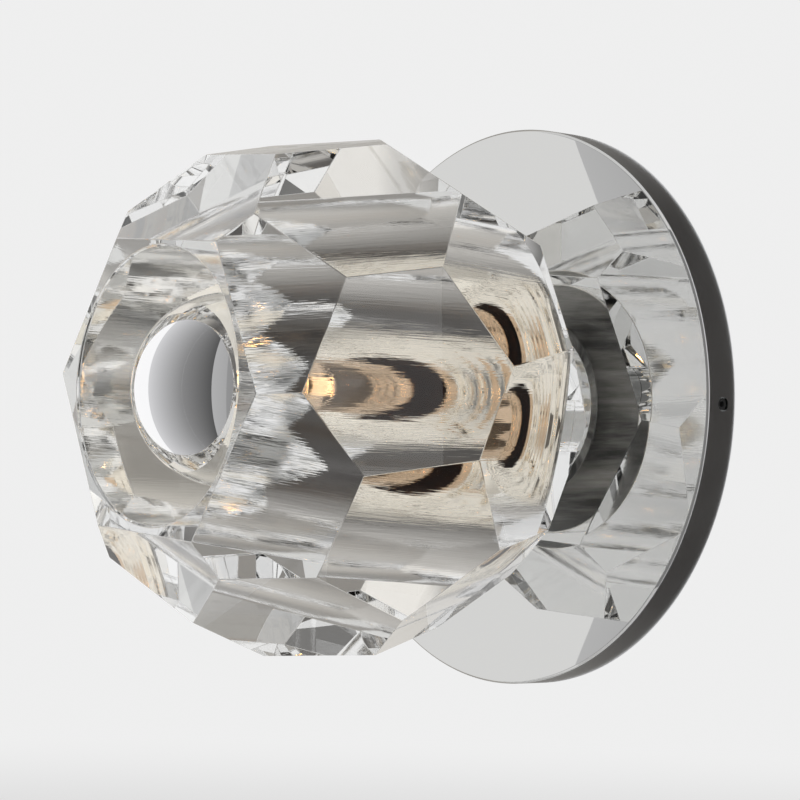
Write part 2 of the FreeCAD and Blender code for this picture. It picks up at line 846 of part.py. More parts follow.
def make_lamp_globe():
    """Clear globe and neck: two parallel walls, each a sphere blended into a cylinder."""
    wall = size.globe_wall
    bend_across = size.neck_radius + size.neck_curve
    reach_out = size.globe_radius + size.neck_curve
    drop = (reach_out * reach_out - bend_across * bend_across).root()
    bend_reach = globe_centre - drop
    share = size.globe_radius / reach_out
    inner_share = (size.globe_radius - wall) / reach_out
    outer_apex = globe_centre + size.globe_radius
    inner_apex = outer_apex - wall
    inner_neck = size.neck_radius - wall
    return turned("lamp_globe", [
        (ZERO, outer_apex), Round(ZERO, globe_centre, leftwards=False),
        (bend_across * share, globe_centre - drop * share), Round(bend_across, bend_reach),
        (size.neck_radius, bend_reach), (size.neck_radius, lamp_foot_top),
        (inner_neck, lamp_foot_top), (inner_neck, bend_reach),
        Round(bend_across, bend_reach, leftwards=False),
        (bend_across * inner_share, globe_centre - drop * inner_share),
        Round(ZERO, globe_centre), (ZERO, inner_apex)])


def make_lamp_crown():
    """Silvered crown: a thin cap against the inside of the globe, round its front."""
    outer = size.globe_radius - size.globe_wall - size.crown_gap
    inner = outer - size.crown_thickness
    sine = size.crown_angle.sine()
    cosine = size.crown_angle.cosine()
    return turned("lamp_crown", [
        (ZERO, globe_centre + outer), Round(ZERO, globe_centre, leftwards=False),
        (outer * sine, globe_centre + outer * cosine),
        (inner * sine, globe_centre + inner * cosine), Round(ZERO, globe_centre),
        (ZERO, globe_centre + inner)])


def make_lamp_stem():
    """Glass stem: a foot disc under the neck, a flared tube and a button for the wires."""
    foot = size.neck_radius - size.glass_clearance
    flare = size.stem_radius + size.stem_flare
    return turned("lamp_stem", [
        (ZERO, lamp_flare_top), (foot, lamp_flare_top), (foot, lamp_foot_top),
        (flare, lamp_foot_top), (size.stem_radius, lamp_foot_top + size.stem_flare),
        (size.stem_radius, stem_top), (size.stem_button_radius, stem_top),
        (size.stem_button_radius, stem_button_top), (ZERO, stem_button_top)])


def make_lamp_wires():
    """Four thin wires that spread from the stem's button to the filament."""
    wires = new_body("lamp_wires")
    section = sketch_on(wires, "XY_Plane", stem_button_top)
    add_circle(section, size.wire_foot, ZERO, size.wire_radius)
    spine = sketch_on(wires, "XZ_Plane")
    top = filament_reach - size.filament_radius - size.filament_gap
    start = FreeCAD.Vector(size.wire_foot.value, stem_button_top.value, 0)
    stop = FreeCAD.Vector(size.filament_ring.value, top.value, 0)
    spine.addGeometry(Part.LineSegment(start, stop))
    place_point(spine, 0, 1, size.wire_foot, stem_button_top)
    place_point(spine, 0, 2, size.filament_ring, top)
    pipe = wires.newObject("PartDesign::AdditivePipe", "wire_pipe")
    pipe.Profile = section
    pipe.Spine = spine
    doc.recompute()
    repeat_round(wires, pipe, 4)
    return wires


def make_lamp_filament():
    """Glowing ring of coiled wire, open on one side."""
    body = new_body("lamp_filament")
    sketch = sketch_on(body, "XZ_Plane")
    add_circle(sketch, size.filament_ring, filament_reach, size.filament_radius)
    turn = body.newObject("PartDesign::Revolution", "filament_turn")
    turn.Profile = sketch
    turn.ReferenceAxis = (sketch, ["V_Axis"])
    bind(turn, "Angle", size.filament_sweep)
    doc.recompute()
    return body


def bracket_end():
    """Outer face of the bracket's end tabs, clear of the plate's rim at their corners."""
    rim = size.plate_radius - size.plate_wall
    half = size.bracket_width / 2
    return (rim * rim - half * half).root() - size.bracket_rim_gap


def block_hole_spots():
    """Fixing screws of the terminal block, between its ways."""
    return [(size.block_place, size.block_pitch / 2 * side) for side in (-1, 1)]


def make_bracket():
    """Flat bar on the wall with a tab bent out at each end for the rim screws."""
    bracket = new_body("wall_bracket")
    half = size.bracket_width / 2
    end = bracket_end()
    bar = sketch_on(bracket, "XY_Plane")
    add_outline(bar, rectangle(-end, end, -half, half))
    add_pad(bracket, bar, size.bracket_thickness)
    for side in (-1, 1):
        tab = sketch_on(bracket, "XY_Plane", size.bracket_thickness)
        low = min(end * side, (end - size.bracket_tab_thickness) * side, key=lambda s: s.value)
        high = max(end * side, (end - size.bracket_tab_thickness) * side, key=lambda s: s.value)
        add_outline(tab, rectangle(low, high, -half, half))
        add_pad(bracket, tab, size.bracket_tab_height - size.bracket_thickness)
    holes = sketch_on(bracket, "XY_Plane", size.bracket_thickness)
    for side in (-1, 1):
        add_outline(holes, slot_outline(size.box_screw_spacing / 2 * side, ZERO,
                                        size.box_slot_length, size.box_slot_width))
    for spot in block_hole_spots():
        add_circle(holes, *spot, size.block_screw_radius + size.thread_clearance)
    add_circle(holes, -size.earth_screw_place, -size.earth_screw_side,
               size.earth_screw_radius + size.thread_clearance)
    add_pocket(bracket, holes)
    tapped = sketch_on(bracket, "YZ_Plane")
    add_circle(tapped, ZERO, size.rim_screw_reach, size.rim_screw_radius + size.thread_clearance)
    add_pocket(bracket, tapped, both_ways=True)
    return bracket


def make_rim_screw(label, turn):
    """Headless screw through the plate's rim into the bracket's tab, with a hexagon socket."""
    screw = new_body(label)
    outer = size.plate_radius - size.rim_screw_recess
    sketch = sketch_on(screw, "YZ_Plane", outer)
    add_circle(sketch, ZERO, size.rim_screw_reach, size.rim_screw_radius)
    add_pad(screw, sketch, size.rim_screw_length, backwards=True)
    key = sketch_on(screw, "YZ_Plane", outer)
    corners = hexagon_outline(size.rim_screw_key)
    add_outline(key, [(across, up + size.rim_screw_reach) for across, up in corners])
    add_pocket(screw, key, size.rim_screw_key_depth)
    screw.Placement = FACING.multiply(
        FreeCAD.Placement(FreeCAD.Vector(), FreeCAD.Rotation(OUTWARD, turn)))
    doc.recompute()
    return screw


def way_reach():
    return size.bracket_thickness + size.block_way_height


def ways():
    return [size.block_pitch * step for step in (-1, 0, 1)]


def way_screw_spots():
    return [(size.block_place + size.way_screw_place * side, way)
            for side in (-1, 1) for way in ways()]


def make_terminal_block():
    block = new_body("terminal_block")
    half_length = size.block_length / 2
    half_width = size.block_pitch + size.block_margin
    top = size.bracket_thickness + size.block_height
    low = size.block_place - half_length
    high = size.block_place + half_length
    outline = sketch_on(block, "XY_Plane", size.bracket_thickness)
    add_outline(outline, rectangle(low, high, -half_width, half_width))
    add_pad(block, outline, size.block_height)
    bores = sketch_on(block, "YZ_Plane", high)
    for way in ways():
        add_circle(bores, way, way_reach(), size.way_radius + size.lead_gap)
    add_pocket(block, bores)
    wells = sketch_on(block, "XY_Plane", top)
    for spot in way_screw_spots():
        add_circle(wells, *spot, size.way_screw_radius + size.lead_gap)
    add_pocket(block, wells, top - way_reach())
    fixings = sketch_on(block, "XY_Plane", top)
    for spot in block_hole_spots():
        add_circle(fixings, *spot, size.block_screw_radius + size.thread_clearance)
    add_pocket(block, fixings)
    sinks = sketch_on(block, "XY_Plane", top)
    for spot in block_hole_spots():
        add_circle(sinks, *spot, size.block_screw_head_radius + size.thread_clearance)
    add_pocket(block, sinks, size.block_screw_head_height)
    return block


def make_terminal_ways():
    """Brass tubes inside the terminal block, one for each lead."""
    tubes = new_body("terminal_ways")
    low = size.block_place - size.block_length / 2
    outline = sketch_on(tubes, "YZ_Plane", low)
    for way in ways():
        add_circle(outline, way, way_reach(), size.way_radius)
        add_circle(outline, way, way_reach(), size.way_hole_radius)
    add_pad(tubes, outline, size.block_length)
    wells = sketch_on(tubes, "XY_Plane", size.bracket_thickness + size.block_height)
    for spot in way_screw_spots():
        add_circle(wells, *spot, size.way_screw_radius + size.lead_gap)
    add_pocket(tubes, wells, size.block_height - size.block_way_height)
    return tubes


def make_terminal_screws():
    screws = new_body("terminal_screws")
    low = way_reach() + size.lead_radius + size.lead_gap
    top = size.bracket_thickness + size.block_height
    outline = sketch_on(screws, "XY_Plane", low)
    for spot in way_screw_spots():
        add_circle(outline, *spot, size.way_screw_radius)
    add_pad(screws, outline, top - low)
    slots = sketch_on(screws, "XY_Plane", top)
    half_slot = size.screw_slot_width / 2
    for across in (-1, 1):
        middle = size.block_place + size.way_screw_place * across
        reach = size.block_pitch + size.block_margin
        add_outline(slots, rectangle(middle - half_slot, middle + half_slot, -reach, reach))
    add_pocket(screws, slots, size.screw_slot_depth)
    return screws


def make_block_screws():
    screws = new_body("terminal_block_screws")
    top = size.bracket_thickness + size.block_height
    head_start = top - size.block_screw_head_height
    shank = sketch_on(screws, "XY_Plane", size.screw_tip_spare)
    for spot in block_hole_spots():
        add_circle(shank, *spot, size.block_screw_radius)
    add_pad(screws, shank, head_start - size.screw_tip_spare)
    head = sketch_on(screws, "XY_Plane", head_start)
    for spot in block_hole_spots():
        add_circle(head, *spot, size.block_screw_head_radius)
    add_pad(screws, head, size.block_screw_head_height)
    slots = sketch_on(screws, "XY_Plane", top)
    half_slot = size.screw_slot_width / 2
    reach = size.block_pitch
    add_outline(slots, rectangle(size.block_place - half_slot, size.block_place + half_slot,
                                 -reach, reach))
    add_pocket(screws, slots, size.screw_slot_depth)
    return screws


def earth_washer_start():
    return size.bracket_thickness + size.lead_radius * 2 + size.lead_gap * 2


def make_earth_screw():
    """Screw that clamps the earth lead to the bracket, with its own washer."""
    screw = new_body("earth_screw")
    spot = (-size.earth_screw_place, -size.earth_screw_side)
    head_start = earth_washer_start() + size.earth_washer_thickness
    shank = sketch_on(screw, "XY_Plane", size.screw_tip_spare)
    add_circle(shank, *spot, size.earth_screw_radius)
    add_pad(screw, shank, head_start - size.screw_tip_spare)
    head = sketch_on(screw, "XY_Plane", head_start)
    add_circle(head, *spot, size.earth_screw_head_radius)
    add_pad(screw, head, size.earth_screw_head_height)
    slot = sketch_on(screw, "XY_Plane", head_start + size.earth_screw_head_height)
    half_slot = size.screw_slot_width / 2
    reach = size.earth_screw_head_radius + size.cut_spare
    add_outline(slot, rectangle(spot[0] - reach, spot[0] + reach,
                                spot[1] - half_slot, spot[1] + half_slot))
    add_pocket(screw, slot, size.screw_slot_depth)
    return screw


def make_earth_washer():
    washer = new_body("earth_washer")
    spot = (-size.earth_screw_place, -size.earth_screw_side)
    outline = sketch_on(washer, "XY_Plane", earth_washer_start())
    add_circle(outline, *spot, size.earth_washer_radius)
    add_circle(outline, *spot, size.earth_screw_radius + size.thread_clearance)
    add_pad(washer, outline, size.earth_washer_thickness)
    return washer


def lead_path(points, radius):
    """Straight runs joined by tangent arcs of one radius, as one wire."""
    edges = []
    start = points[0]
    for index in range(1, len(points) - 1):
        corner = points[index]
        back = (points[index - 1] - corner).normalize()
        ahead = (points[index + 1] - corner).normalize()
        half_turn = (math.pi - back.getAngle(ahead)) / 2
        trim = radius * math.tan(half_turn)
        enter = corner + back * trim
        leave = corner + ahead * trim
        towards_centre = (back + ahead).normalize()
        middle = corner + towards_centre * (radius / math.cos(half_turn) - radius)
        edges.append(Part.LineSegment(start, enter).toShape())
        edges.append(Part.Arc(enter, middle, leave).toShape())
        start = leave
    edges.append(Part.LineSegment(start, points[-1]).toShape())
    return Part.Wire(edges)


def make_lead(label, points, bend):
    """A round insulated lead along its route; its radius and bends come from the sheet."""
    radius = sheet.get("lead_radius")
    path = lead_path([FreeCAD.Vector(*point) for point in points], bend)
    direction = FreeCAD.Vector(*points[1]) - FreeCAD.Vector(*points[0])
    section = Part.Wire(Part.makeCircle(radius, FreeCAD.Vector(*points[0]), direction))
    tube = path.makePipeShell([section], True, False)
    expected = math.pi * radius ** 2 * path.Length
    print(f"{label}: length {path.Length:.1f} mm, bends {bend:.2f} mm, "
          f"volume {tube.Volume / expected:.4f} of section times length")
    lead = doc.addObject("Part::Feature", label)
    lead.Label = label
    lead.Shape = tube
    lead.Placement = FACING
    return lead


def make_leads():
    """Live and neutral run through the tube; the earth lead stays behind the plate."""
    place = size.lead_place.value
    bend = size.lead_bend.value
    way = way_reach().value
    block = size.block_place.value
    edge = block - size.block_length.value / 2
    pitch = size.block_pitch.value
    post = size.post_place.value
    end = (lead_post_end() - size.lead_gap).value
    level = (body_back - size.lead_post_run).value
    stop = block - size.lead_stop.value
    leads = []
    for label, side in (("live_lead", 1), ("neutral_lead", 0)):
        turn = side * 2 - 1
        leads.append(make_lead(label, [
            (0, post * turn, end), (0, post * turn, level), (0, place * turn, level),
            (0, place * turn, way), (edge - pitch, pitch * side, way),
            (stop, pitch * side, way)], bend))
    screw_across = -size.earth_screw_place.value
    before = screw_across + size.earth_lead_before.value
    after = screw_across - size.earth_lead_after.value
    beside = size.earth_screw_side.value + (
        size.earth_screw_radius + size.lead_radius + size.lead_gap * 2).value
    low = (size.bracket_thickness + size.lead_radius + size.lead_gap).value
    clear_of_nut = (size.nut_half_width + size.lead_nut_clearance).value
    leads.append(make_lead("earth_lead", [
        (stop, -pitch, way), (edge - size.earth_lead_run.value, -pitch, way),
        (pitch, -clear_of_nut, low), (-pitch, -clear_of_nut, low), (before, -beside, low),
        (after, -beside, low)], bend))
    return leads


def make_all():
    parts = [make_back_plate(), make_collar(), make_crystal(), make_bush()]
    parts += make_pads()
    parts += [make_tube(), make_nuts(), make_washers(), make_base_plate(), make_bezel(),
              make_bezel_screws(), make_holder_cap(), make_holder_body(), make_holder_shell(),
              make_holder_tongue(), make_holder_posts(), make_sleeve(), make_lamp_tip(),
              make_lamp_insulator(), make_lamp_screw(), make_lamp_globe(), make_lamp_crown(),
              make_lamp_stem(), make_lamp_wires(), make_lamp_filament(), make_bracket(),
              make_rim_screw("rim_screw_right", 0), make_rim_screw("rim_screw_left", 180),
              make_terminal_block(), make_terminal_ways(), make_terminal_screws(),
              make_block_screws(), make_earth_screw(), make_earth_washer()]
    return parts + make_leads()


def check_document(parts):
    for thing in doc.Objects:
        if "Invalid" in thing.State or "Error" in thing.State:
            raise SystemExit(f"{thing.Name} did not compute: {thing.State}")
    for part in parts:
        if part.Shape.isNull() or not part.Shape.isValid():
            raise SystemExit(f"{part.Label} has no valid shape")
        if part.Shape.Volume <= 0 or not part.Shape.Solids:
            raise SystemExit(f"{part.Label} is not solid")


parts = make_all()
doc.recompute()
check_document(parts)
os.makedirs("parts", exist_ok=True)
for part in parts:
    part.Shape.exportStep(f"parts/{part.Label}.step")
    print(f"{part.Label}: {len(part.Shape.Solids)} solids, {part.Shape.Volume:.1f} mm3")
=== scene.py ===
"""Looks for the crystal wall sconce: cut crystal, silvered globe lamp and polished metal."""
import itertools
import math

import bmesh
import bpy
import numpy as np
from mathutils import Matrix, Vector


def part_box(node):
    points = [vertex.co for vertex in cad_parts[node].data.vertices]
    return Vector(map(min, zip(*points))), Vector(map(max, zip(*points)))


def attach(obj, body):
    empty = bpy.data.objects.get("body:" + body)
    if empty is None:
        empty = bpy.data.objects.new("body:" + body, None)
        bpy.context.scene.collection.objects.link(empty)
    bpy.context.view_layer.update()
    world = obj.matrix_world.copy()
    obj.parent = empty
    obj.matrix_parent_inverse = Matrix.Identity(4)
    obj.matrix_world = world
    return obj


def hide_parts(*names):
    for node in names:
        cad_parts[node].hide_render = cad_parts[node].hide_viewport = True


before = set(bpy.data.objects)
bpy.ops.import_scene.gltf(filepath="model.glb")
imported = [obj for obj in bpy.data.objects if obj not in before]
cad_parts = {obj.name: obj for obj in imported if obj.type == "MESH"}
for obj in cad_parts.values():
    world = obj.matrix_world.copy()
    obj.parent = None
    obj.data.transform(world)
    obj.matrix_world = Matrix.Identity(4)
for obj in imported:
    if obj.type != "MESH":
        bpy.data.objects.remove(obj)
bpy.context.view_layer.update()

MM = 0.001


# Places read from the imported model. Reach is the distance out from the wall, which is -Y.
def reach_of(node):
    """Nearest and furthest reach of a node."""
    low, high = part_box(node)
    return -high[1], -low[1]


def radius_of(node):
    """Half of a node's width across."""
    low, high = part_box(node)
    return (high[0] - low[0]) / 2


PLATE_RADIUS = radius_of("back_plate")
PLATE_DEPTH = reach_of("back_plate")[1]
CRYSTAL_BACK, CRYSTAL_FRONT = reach_of("crystal_ball")
CRYSTAL_CENTRE = (CRYSTAL_BACK + CRYSTAL_FRONT) / 2
TABLE_REACH = (CRYSTAL_FRONT - CRYSTAL_BACK) / 2
BORE_FLOOR = reach_of("bore_floor_pad")[0]

# Sizes that the boxes don't give, in metres.
AIR_GAP = 0.03 * MM
PLATE_WALL = 1.5 * MM
HEXAGON_REACH = 63.5 * MM
PENTAGON_REACH = 64.3 * MM
CRYSTAL_TURN = math.radians(4.3)
BORE_RADIUS = 34.5 * MM
BACK_HOLE_RADIUS = 7.05 * MM
BORE_BEVEL = 0.5 * MM
BORE_BAND = 0.2 * MM
CUTTER_OVERRUN = 2.0 * MM
EDGE_BEVEL = 0.2 * MM
PLATE_BEVEL = 0.6 * MM
TUBE_HOLE_RADIUS = 5.3 * MM
RIM_HOLE_CLEARANCE = 0.3 * MM
RIM_BAND = 0.1 * MM
PLATE_SOFTENING = 0.12 * MM
COLLAR_WALL = 1.5 * MM
COLLAR_END = 2.5 * MM
COLLAR_SOFTENING = 0.6 * MM
BEZEL_SKIRT_GAP = 0.3 * MM
BEZEL_STEP_WIDTH = 2.5 * MM
BEZEL_STEP_HEIGHT = 2.4 * MM
BEZEL_HEIGHT = 5.2 * MM
BEZEL_WALL = 1.6 * MM
BEZEL_LIP_WIDTH = 3.0 * MM
BEZEL_HOLE_RADIUS = 18.0 * MM
BEZEL_GROOVES = 3
BEZEL_GROOVE_DEPTH = 0.45 * MM
METAL_SOFTENING = 0.5 * MM
SLEEVE_WALL = 0.8 * MM
SLEEVE_LIP = 1.0 * MM
SLEEVE_LIP_HOLE = 8.7 * MM
GLOBE_WALL = 1.0 * MM
NECK_RADIUS = 7.6 * MM
NECK_CURVE = 5.0 * MM
CROWN_ANGLE = 58.0
CROWN_FILM = 0.12 * MM
CROWN_GAP = 0.03 * MM
SKIRT_LENGTH = 4.6 * MM
FLARE_HEIGHT = 1.2 * MM
THREAD_CREST = 6.95 * MM
THREAD_DEPTH = 0.55 * MM
THREAD_PITCH = 2.82 * MM
THREAD_FADE = 1.0 * MM
CAP_WALL = 0.45 * MM
CAP_LIP = 0.3 * MM
CAP_LIP_ROUND = 0.25 * MM
CAP_LIP_DROP = 0.1 * MM
CAP_BORE_WALL = 0.95 * MM
COIL_RADIUS = 0.45 * MM
COIL_WIRE = 0.09 * MM
COIL_TURNS = 130
COIL_STEPS_PER_TURN = 14
COIL_WIRE_SIDES = 7
FILAMENT_SWEEP = 300.0

# Fineness of the meshes, in steps round a circle, and the least angle of a sharp edge.
STEPS = 256
PLATE_STEPS = 512
BORE_STEPS = 360
ROD_STEPS = 48
CAP_STEPS = 96
THREAD_ROWS = 90
SHARP_ANGLE = 30.0
FACET_ANGLE = 12.0
ICOSAHEDRON_EDGE = 2.0
GLOBE_ROWS = 96
NECK_ROWS = 24
CROWN_ROWS = 64
WALL_ROWS = 40
ROUNDING_POINTS = 5
ROUNDING_SHARE = 0.45

# Tolerances: a facet that faces straight out or back, flat joins in degrees, and distances.
STRAIGHT = 0.999
FLAT_HULL_ANGLE = 1.0
FLAT_CUT_ANGLE = 0.2
MERGE_DISTANCE = 0.0001 * MM
CORNER_MERGE = 0.001 * MM


# ---------------------------------------------------------------- shapes


def grid_mesh(name, points, closed_along=False):
    """A mesh object from an (n, m, 3) grid; rows join to the next row, columns join round.

    With closed_along the last row also joins the first.
    """
    rows, columns = points.shape[:2]
    index = np.arange(rows * columns).reshape(rows, columns)
    upper = index if closed_along else index[:-1]
    lower = np.roll(index, -1, axis=0) if closed_along else index[1:]
    faces = np.stack([upper, np.roll(upper, -1, axis=1), np.roll(lower, -1, axis=1), lower],
                     axis=-1).reshape(-1, 4)
    mesh = bpy.data.meshes.new(name)
    mesh.from_pydata(points.reshape(-1, 3).tolist(), [], faces.tolist())
    return finish_mesh(name, mesh)


def finish_mesh(name, mesh, angle=SHARP_ANGLE):
    """Merge doubles, turn faces outwards, shade smooth but keep edges past the angle sharp."""
    work = bmesh.new()
    work.from_mesh(mesh)
    bmesh.ops.remove_doubles(work, verts=work.verts, dist=MERGE_DISTANCE)
    bmesh.ops.dissolve_degenerate(work, dist=1e-8, edges=work.edges)
    bmesh.ops.recalc_face_normals(work, faces=work.faces)
    work.to_mesh(mesh)
    work.free()
    mesh.shade_smooth()
    mesh.set_sharp_from_angle(angle=math.radians(angle))
    piece = bpy.data.objects.new(name, mesh)
    bpy.context.scene.collection.objects.link(piece)
    return piece


def rounded(outline, radius):
    """An outline with each corner cut to an arc of at most the radius, tangent to both sides.

    The arc runs from one tangent point to the other on a quadratic curve through the corner.
    """
    outline = np.asarray(outline, float)
    before = np.roll(outline, 1, axis=0)
    after = np.roll(outline, -1, axis=0)
    back = before - outline
    ahead = after - outline
    back_length = np.linalg.norm(back, axis=1, keepdims=True)
    ahead_length = np.linalg.norm(ahead, axis=1, keepdims=True)
    trim = np.minimum(radius, ROUNDING_SHARE * np.minimum(back_length, ahead_length))
    trim = np.where(outline[:, :1] <= 1e-9, 0, trim)
    enter = outline + back / back_length * trim
    leave = outline + ahead / ahead_length * trim
    share = np.linspace(0, 1, ROUNDING_POINTS)[None, :, None]
    curve = ((1 - share) ** 2 * enter[:, None] + 2 * share * (1 - share) * outline[:, None]
             + share ** 2 * leave[:, None])
    return curve.reshape(-1, 2)


def revolved(name, outline, steps=STEPS):
    """A closed outline of (radius, reach) turned about the reach axis.

    Each point goes to (radius cos a, -reach, radius sin a) for evenly spaced angles a.
    """
    outline = np.asarray(outline, float)
    angle = np.linspace(0, 2 * math.pi, steps, endpoint=False)
    radius = outline[:, 0][:, None]
    reach = outline[:, 1][:, None]
    points = np.stack([radius * np.cos(angle), -reach + 0 * angle, radius * np.sin(angle)],
                      axis=-1)
    return grid_mesh(name, points, closed_along=True)


def arc(centre, radius, start, stop, count):
    """Points (radius, reach) on a circle; angles in degrees from the outward axis."""
    angle = np.radians(np.linspace(start, stop, count))
    return np.stack([centre[0] + radius * np.sin(angle), centre[1] + radius * np.cos(angle)],
                    axis=-1)


def facet_planes():
    """Outward normals and reaches of the ball's 32 facets, in the part's frame.

    The normals point through the faces (hexagons) and corners (pentagons) of an icosahedron that
    is turned so that one face looks straight out of the wall.
    """
    golden = (1 + math.sqrt(5)) / 2
    corners = np.array([corner for short in (-1, 1) for long in (-golden, golden)
                        for corner in ((0, short, long), (short, long, 0), (long, 0, short))])
    gaps = np.linalg.norm(corners[:, None] - corners[None], axis=-1)
    near = gaps < 1.005 * ICOSAHEDRON_EDGE
    trios = [trio for trio in itertools.combinations(range(len(corners)), 3)
             if near[trio[0], trio[1]] and near[trio[1], trio[2]] and near[trio[0], trio[2]]]
    hexagons = np.array([corners[list(trio)].sum(axis=0) for trio in trios])
    front = hexagons[0] / np.linalg.norm(hexagons[0])
    side_middle = corners[list(trios[0][:2])].mean(axis=0)
    up = side_middle - front * side_middle.dot(front)
    up /= np.linalg.norm(up)
    across = np.cross(up, front)
    turn = np.array([[math.cos(CRYSTAL_TURN), math.sin(CRYSTAL_TURN)],
                     [-math.sin(CRYSTAL_TURN), math.cos(CRYSTAL_TURN)]])
    across, up = turn @ np.array([across, up])
    frame_rows = np.array([across, -front, up])
    normals = np.concatenate([hexagons, corners])
    normals = (normals / np.linalg.norm(normals, axis=1, keepdims=True)) @ frame_rows.T
    reaches = np.concatenate([np.full(len(hexagons), HEXAGON_REACH),
                              np.full(len(corners), PENTAGON_REACH)])
    reaches = np.where(np.abs(normals[:, 1]) > STRAIGHT, TABLE_REACH, reaches)
    return normals, reaches


def hull_corners(normals, reaches):
    """Points where three facet planes meet inside all the others."""
    trios = np.array(list(itertools.combinations(range(len(normals)), 3)))
    matrices = normals[trios]
    solvable = np.abs(np.linalg.det(matrices)) > 1e-6
    points = np.linalg.solve(matrices[solvable], reaches[trios[solvable]][..., None])[..., 0]
    inside = (points @ normals.T <= reaches + 1e-9).all(axis=1)
    return points[inside]


def make_crystal():
    """The ball as the hull of its facet corners, less the bore and the hole for the tube."""
    normals, reaches = facet_planes()
    reaches = np.where(normals[:, 1] > STRAIGHT, reaches - AIR_GAP, reaches)
    corners = hull_corners(normals, reaches) + np.array([0, -CRYSTAL_CENTRE, 0])
    work = bmesh.new()
    for corner in corners:
        work.verts.new(corner)
    bmesh.ops.remove_doubles(work, verts=work.verts, dist=CORNER_MERGE)
    bmesh.ops.convex_hull(work, input=work.verts)
    bmesh.ops.dissolve_limit(work, angle_limit=math.radians(FLAT_HULL_ANGLE), verts=work.verts,
                             edges=work.edges)
    mesh = bpy.data.meshes.new("cut_crystal")
    work.to_mesh(mesh)
    work.free()
    ball = bpy.data.objects.new("cut_crystal", mesh)
    bpy.context.scene.collection.objects.link(ball)
    bevel = BORE_BEVEL
    floor = BORE_FLOOR - AIR_GAP
    out = CRYSTAL_FRONT
    cutter = revolved("bore_cutter", [
        (0, CRYSTAL_BACK - CUTTER_OVERRUN),
        (BACK_HOLE_RADIUS, CRYSTAL_BACK - CUTTER_OVERRUN),
        (BACK_HOLE_RADIUS, floor), (BORE_RADIUS, floor), (BORE_RADIUS, out - bevel),
        (BORE_RADIUS + 2 * bevel, out + bevel), (BORE_RADIUS + 2 * bevel, out + 2 * bevel),
        (0, out + 2 * bevel)], steps=BORE_STEPS)
    cut = ball.modifiers.new("bore", "BOOLEAN")
    cut.operation = "DIFFERENCE"
    cut.object = cutter
    cut.solver = "EXACT"
    graph = bpy.context.evaluated_depsgraph_get()
    result = bpy.data.meshes.new_from_object(ball.evaluated_get(graph))
    bpy.data.objects.remove(cutter)
    bpy.data.objects.remove(ball)
    work = bmesh.new()
    work.from_mesh(result)
    bmesh.ops.dissolve_limit(work, angle_limit=math.radians(FLAT_CUT_ANGLE), verts=work.verts,
                             edges=work.edges)
    work.to_mesh(result)
    work.free()
    piece = finish_mesh("cut_crystal", result, angle=FACET_ANGLE)
    edges = piece.modifiers.new("ground_edges", "BEVEL")
    edges.limit_method = "ANGLE"
    edges.angle_limit = math.radians(FACET_ANGLE)
    edges.width = EDGE_BEVEL
    edges.segments = 1
    edges.harden_normals = True
    second_finish(piece, np.abs(face_spans(piece) - BORE_RADIUS) < BORE_BAND)
    return carry(piece, "fixture", "crystal_ball")


def face_spans(piece):
    """Distance of each face's middle from the reach axis."""
    middles = np.empty(len(piece.data.polygons) * 3)
    piece.data.polygons.foreach_get("center", middles)
    middles = middles.reshape(-1, 3)
    return np.hypot(middles[:, 0], middles[:, 2])


def second_finish(piece, chosen):
    """Material slot 1 on the chosen faces, slot 0 on the rest."""
    piece.data.polygons.foreach_set("material_index", chosen.astype(np.int32))


def carry(piece, body, node):
    """Let a piece move with its body and stand for its CAD node."""
    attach(piece, body)
    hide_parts(node)
    return piece


def cut_holes(piece, cutters):
    """Subtract the cutters from the piece and keep the result as its mesh."""
    for cutter in cutters:
        cut = piece.modifiers.new("hole", "BOOLEAN")
        cut.operation = "DIFFERENCE"
        cut.object = cutter
        cut.solver = "EXACT"
    graph = bpy.context.evaluated_depsgraph_get()
    mesh = bpy.data.meshes.new_from_object(piece.evaluated_get(graph))
    name = piece.name
    for thing in [piece, *cutters]:
        bpy.data.objects.remove(thing)
    return finish_mesh(name, mesh)


def sideways_rod(name, radius, start, stop, reach):
    """A rod along the across axis: a circle of the radius carried from start to stop."""
    angle = np.linspace(0, 2 * math.pi, ROD_STEPS, endpoint=False)
    ring = np.array([(start, 0.0), (start, radius), (stop, radius), (stop, 0.0)])
    across = ring[:, 0][:, None] + 0 * angle
    spread = ring[:, 1][:, None]
    points = np.stack([across, -reach + spread * np.cos(angle), spread * np.sin(angle)], axis=-1)
    return grid_mesh(name, points, closed_along=True)


def make_back_plate():
    """Pressed cup with a crisp bevelled edge and a small hole in each side of the rim."""
    edge, inner = PLATE_RADIUS, PLATE_RADIUS - PLATE_WALL
    inside = PLATE_DEPTH - PLATE_WALL
    outline = rounded([
        (inner, 0), (edge, 0), (edge, PLATE_DEPTH - PLATE_BEVEL),
        (edge - PLATE_BEVEL, PLATE_DEPTH), (TUBE_HOLE_RADIUS, PLATE_DEPTH),
        (TUBE_HOLE_RADIUS, inside), (inner, inside)], PLATE_SOFTENING)
    plate = revolved("mirror_back_plate", outline, steps=PLATE_STEPS)
    low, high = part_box("rim_screw_right")
    reach = -(low[1] + high[1]) / 2
    hole = (high[1] - low[1]) / 2 + RIM_HOLE_CLEARANCE
    plate = cut_holes(plate, [sideways_rod("right_cutter", hole, inner / 2, edge * 2, reach),
                              sideways_rod("left_cutter", hole, -edge * 2, -inner / 2, reach)])
    second_finish(plate, face_spans(plate) > edge - RIM_BAND)
    return carry(plate, "fixture", "back_plate")


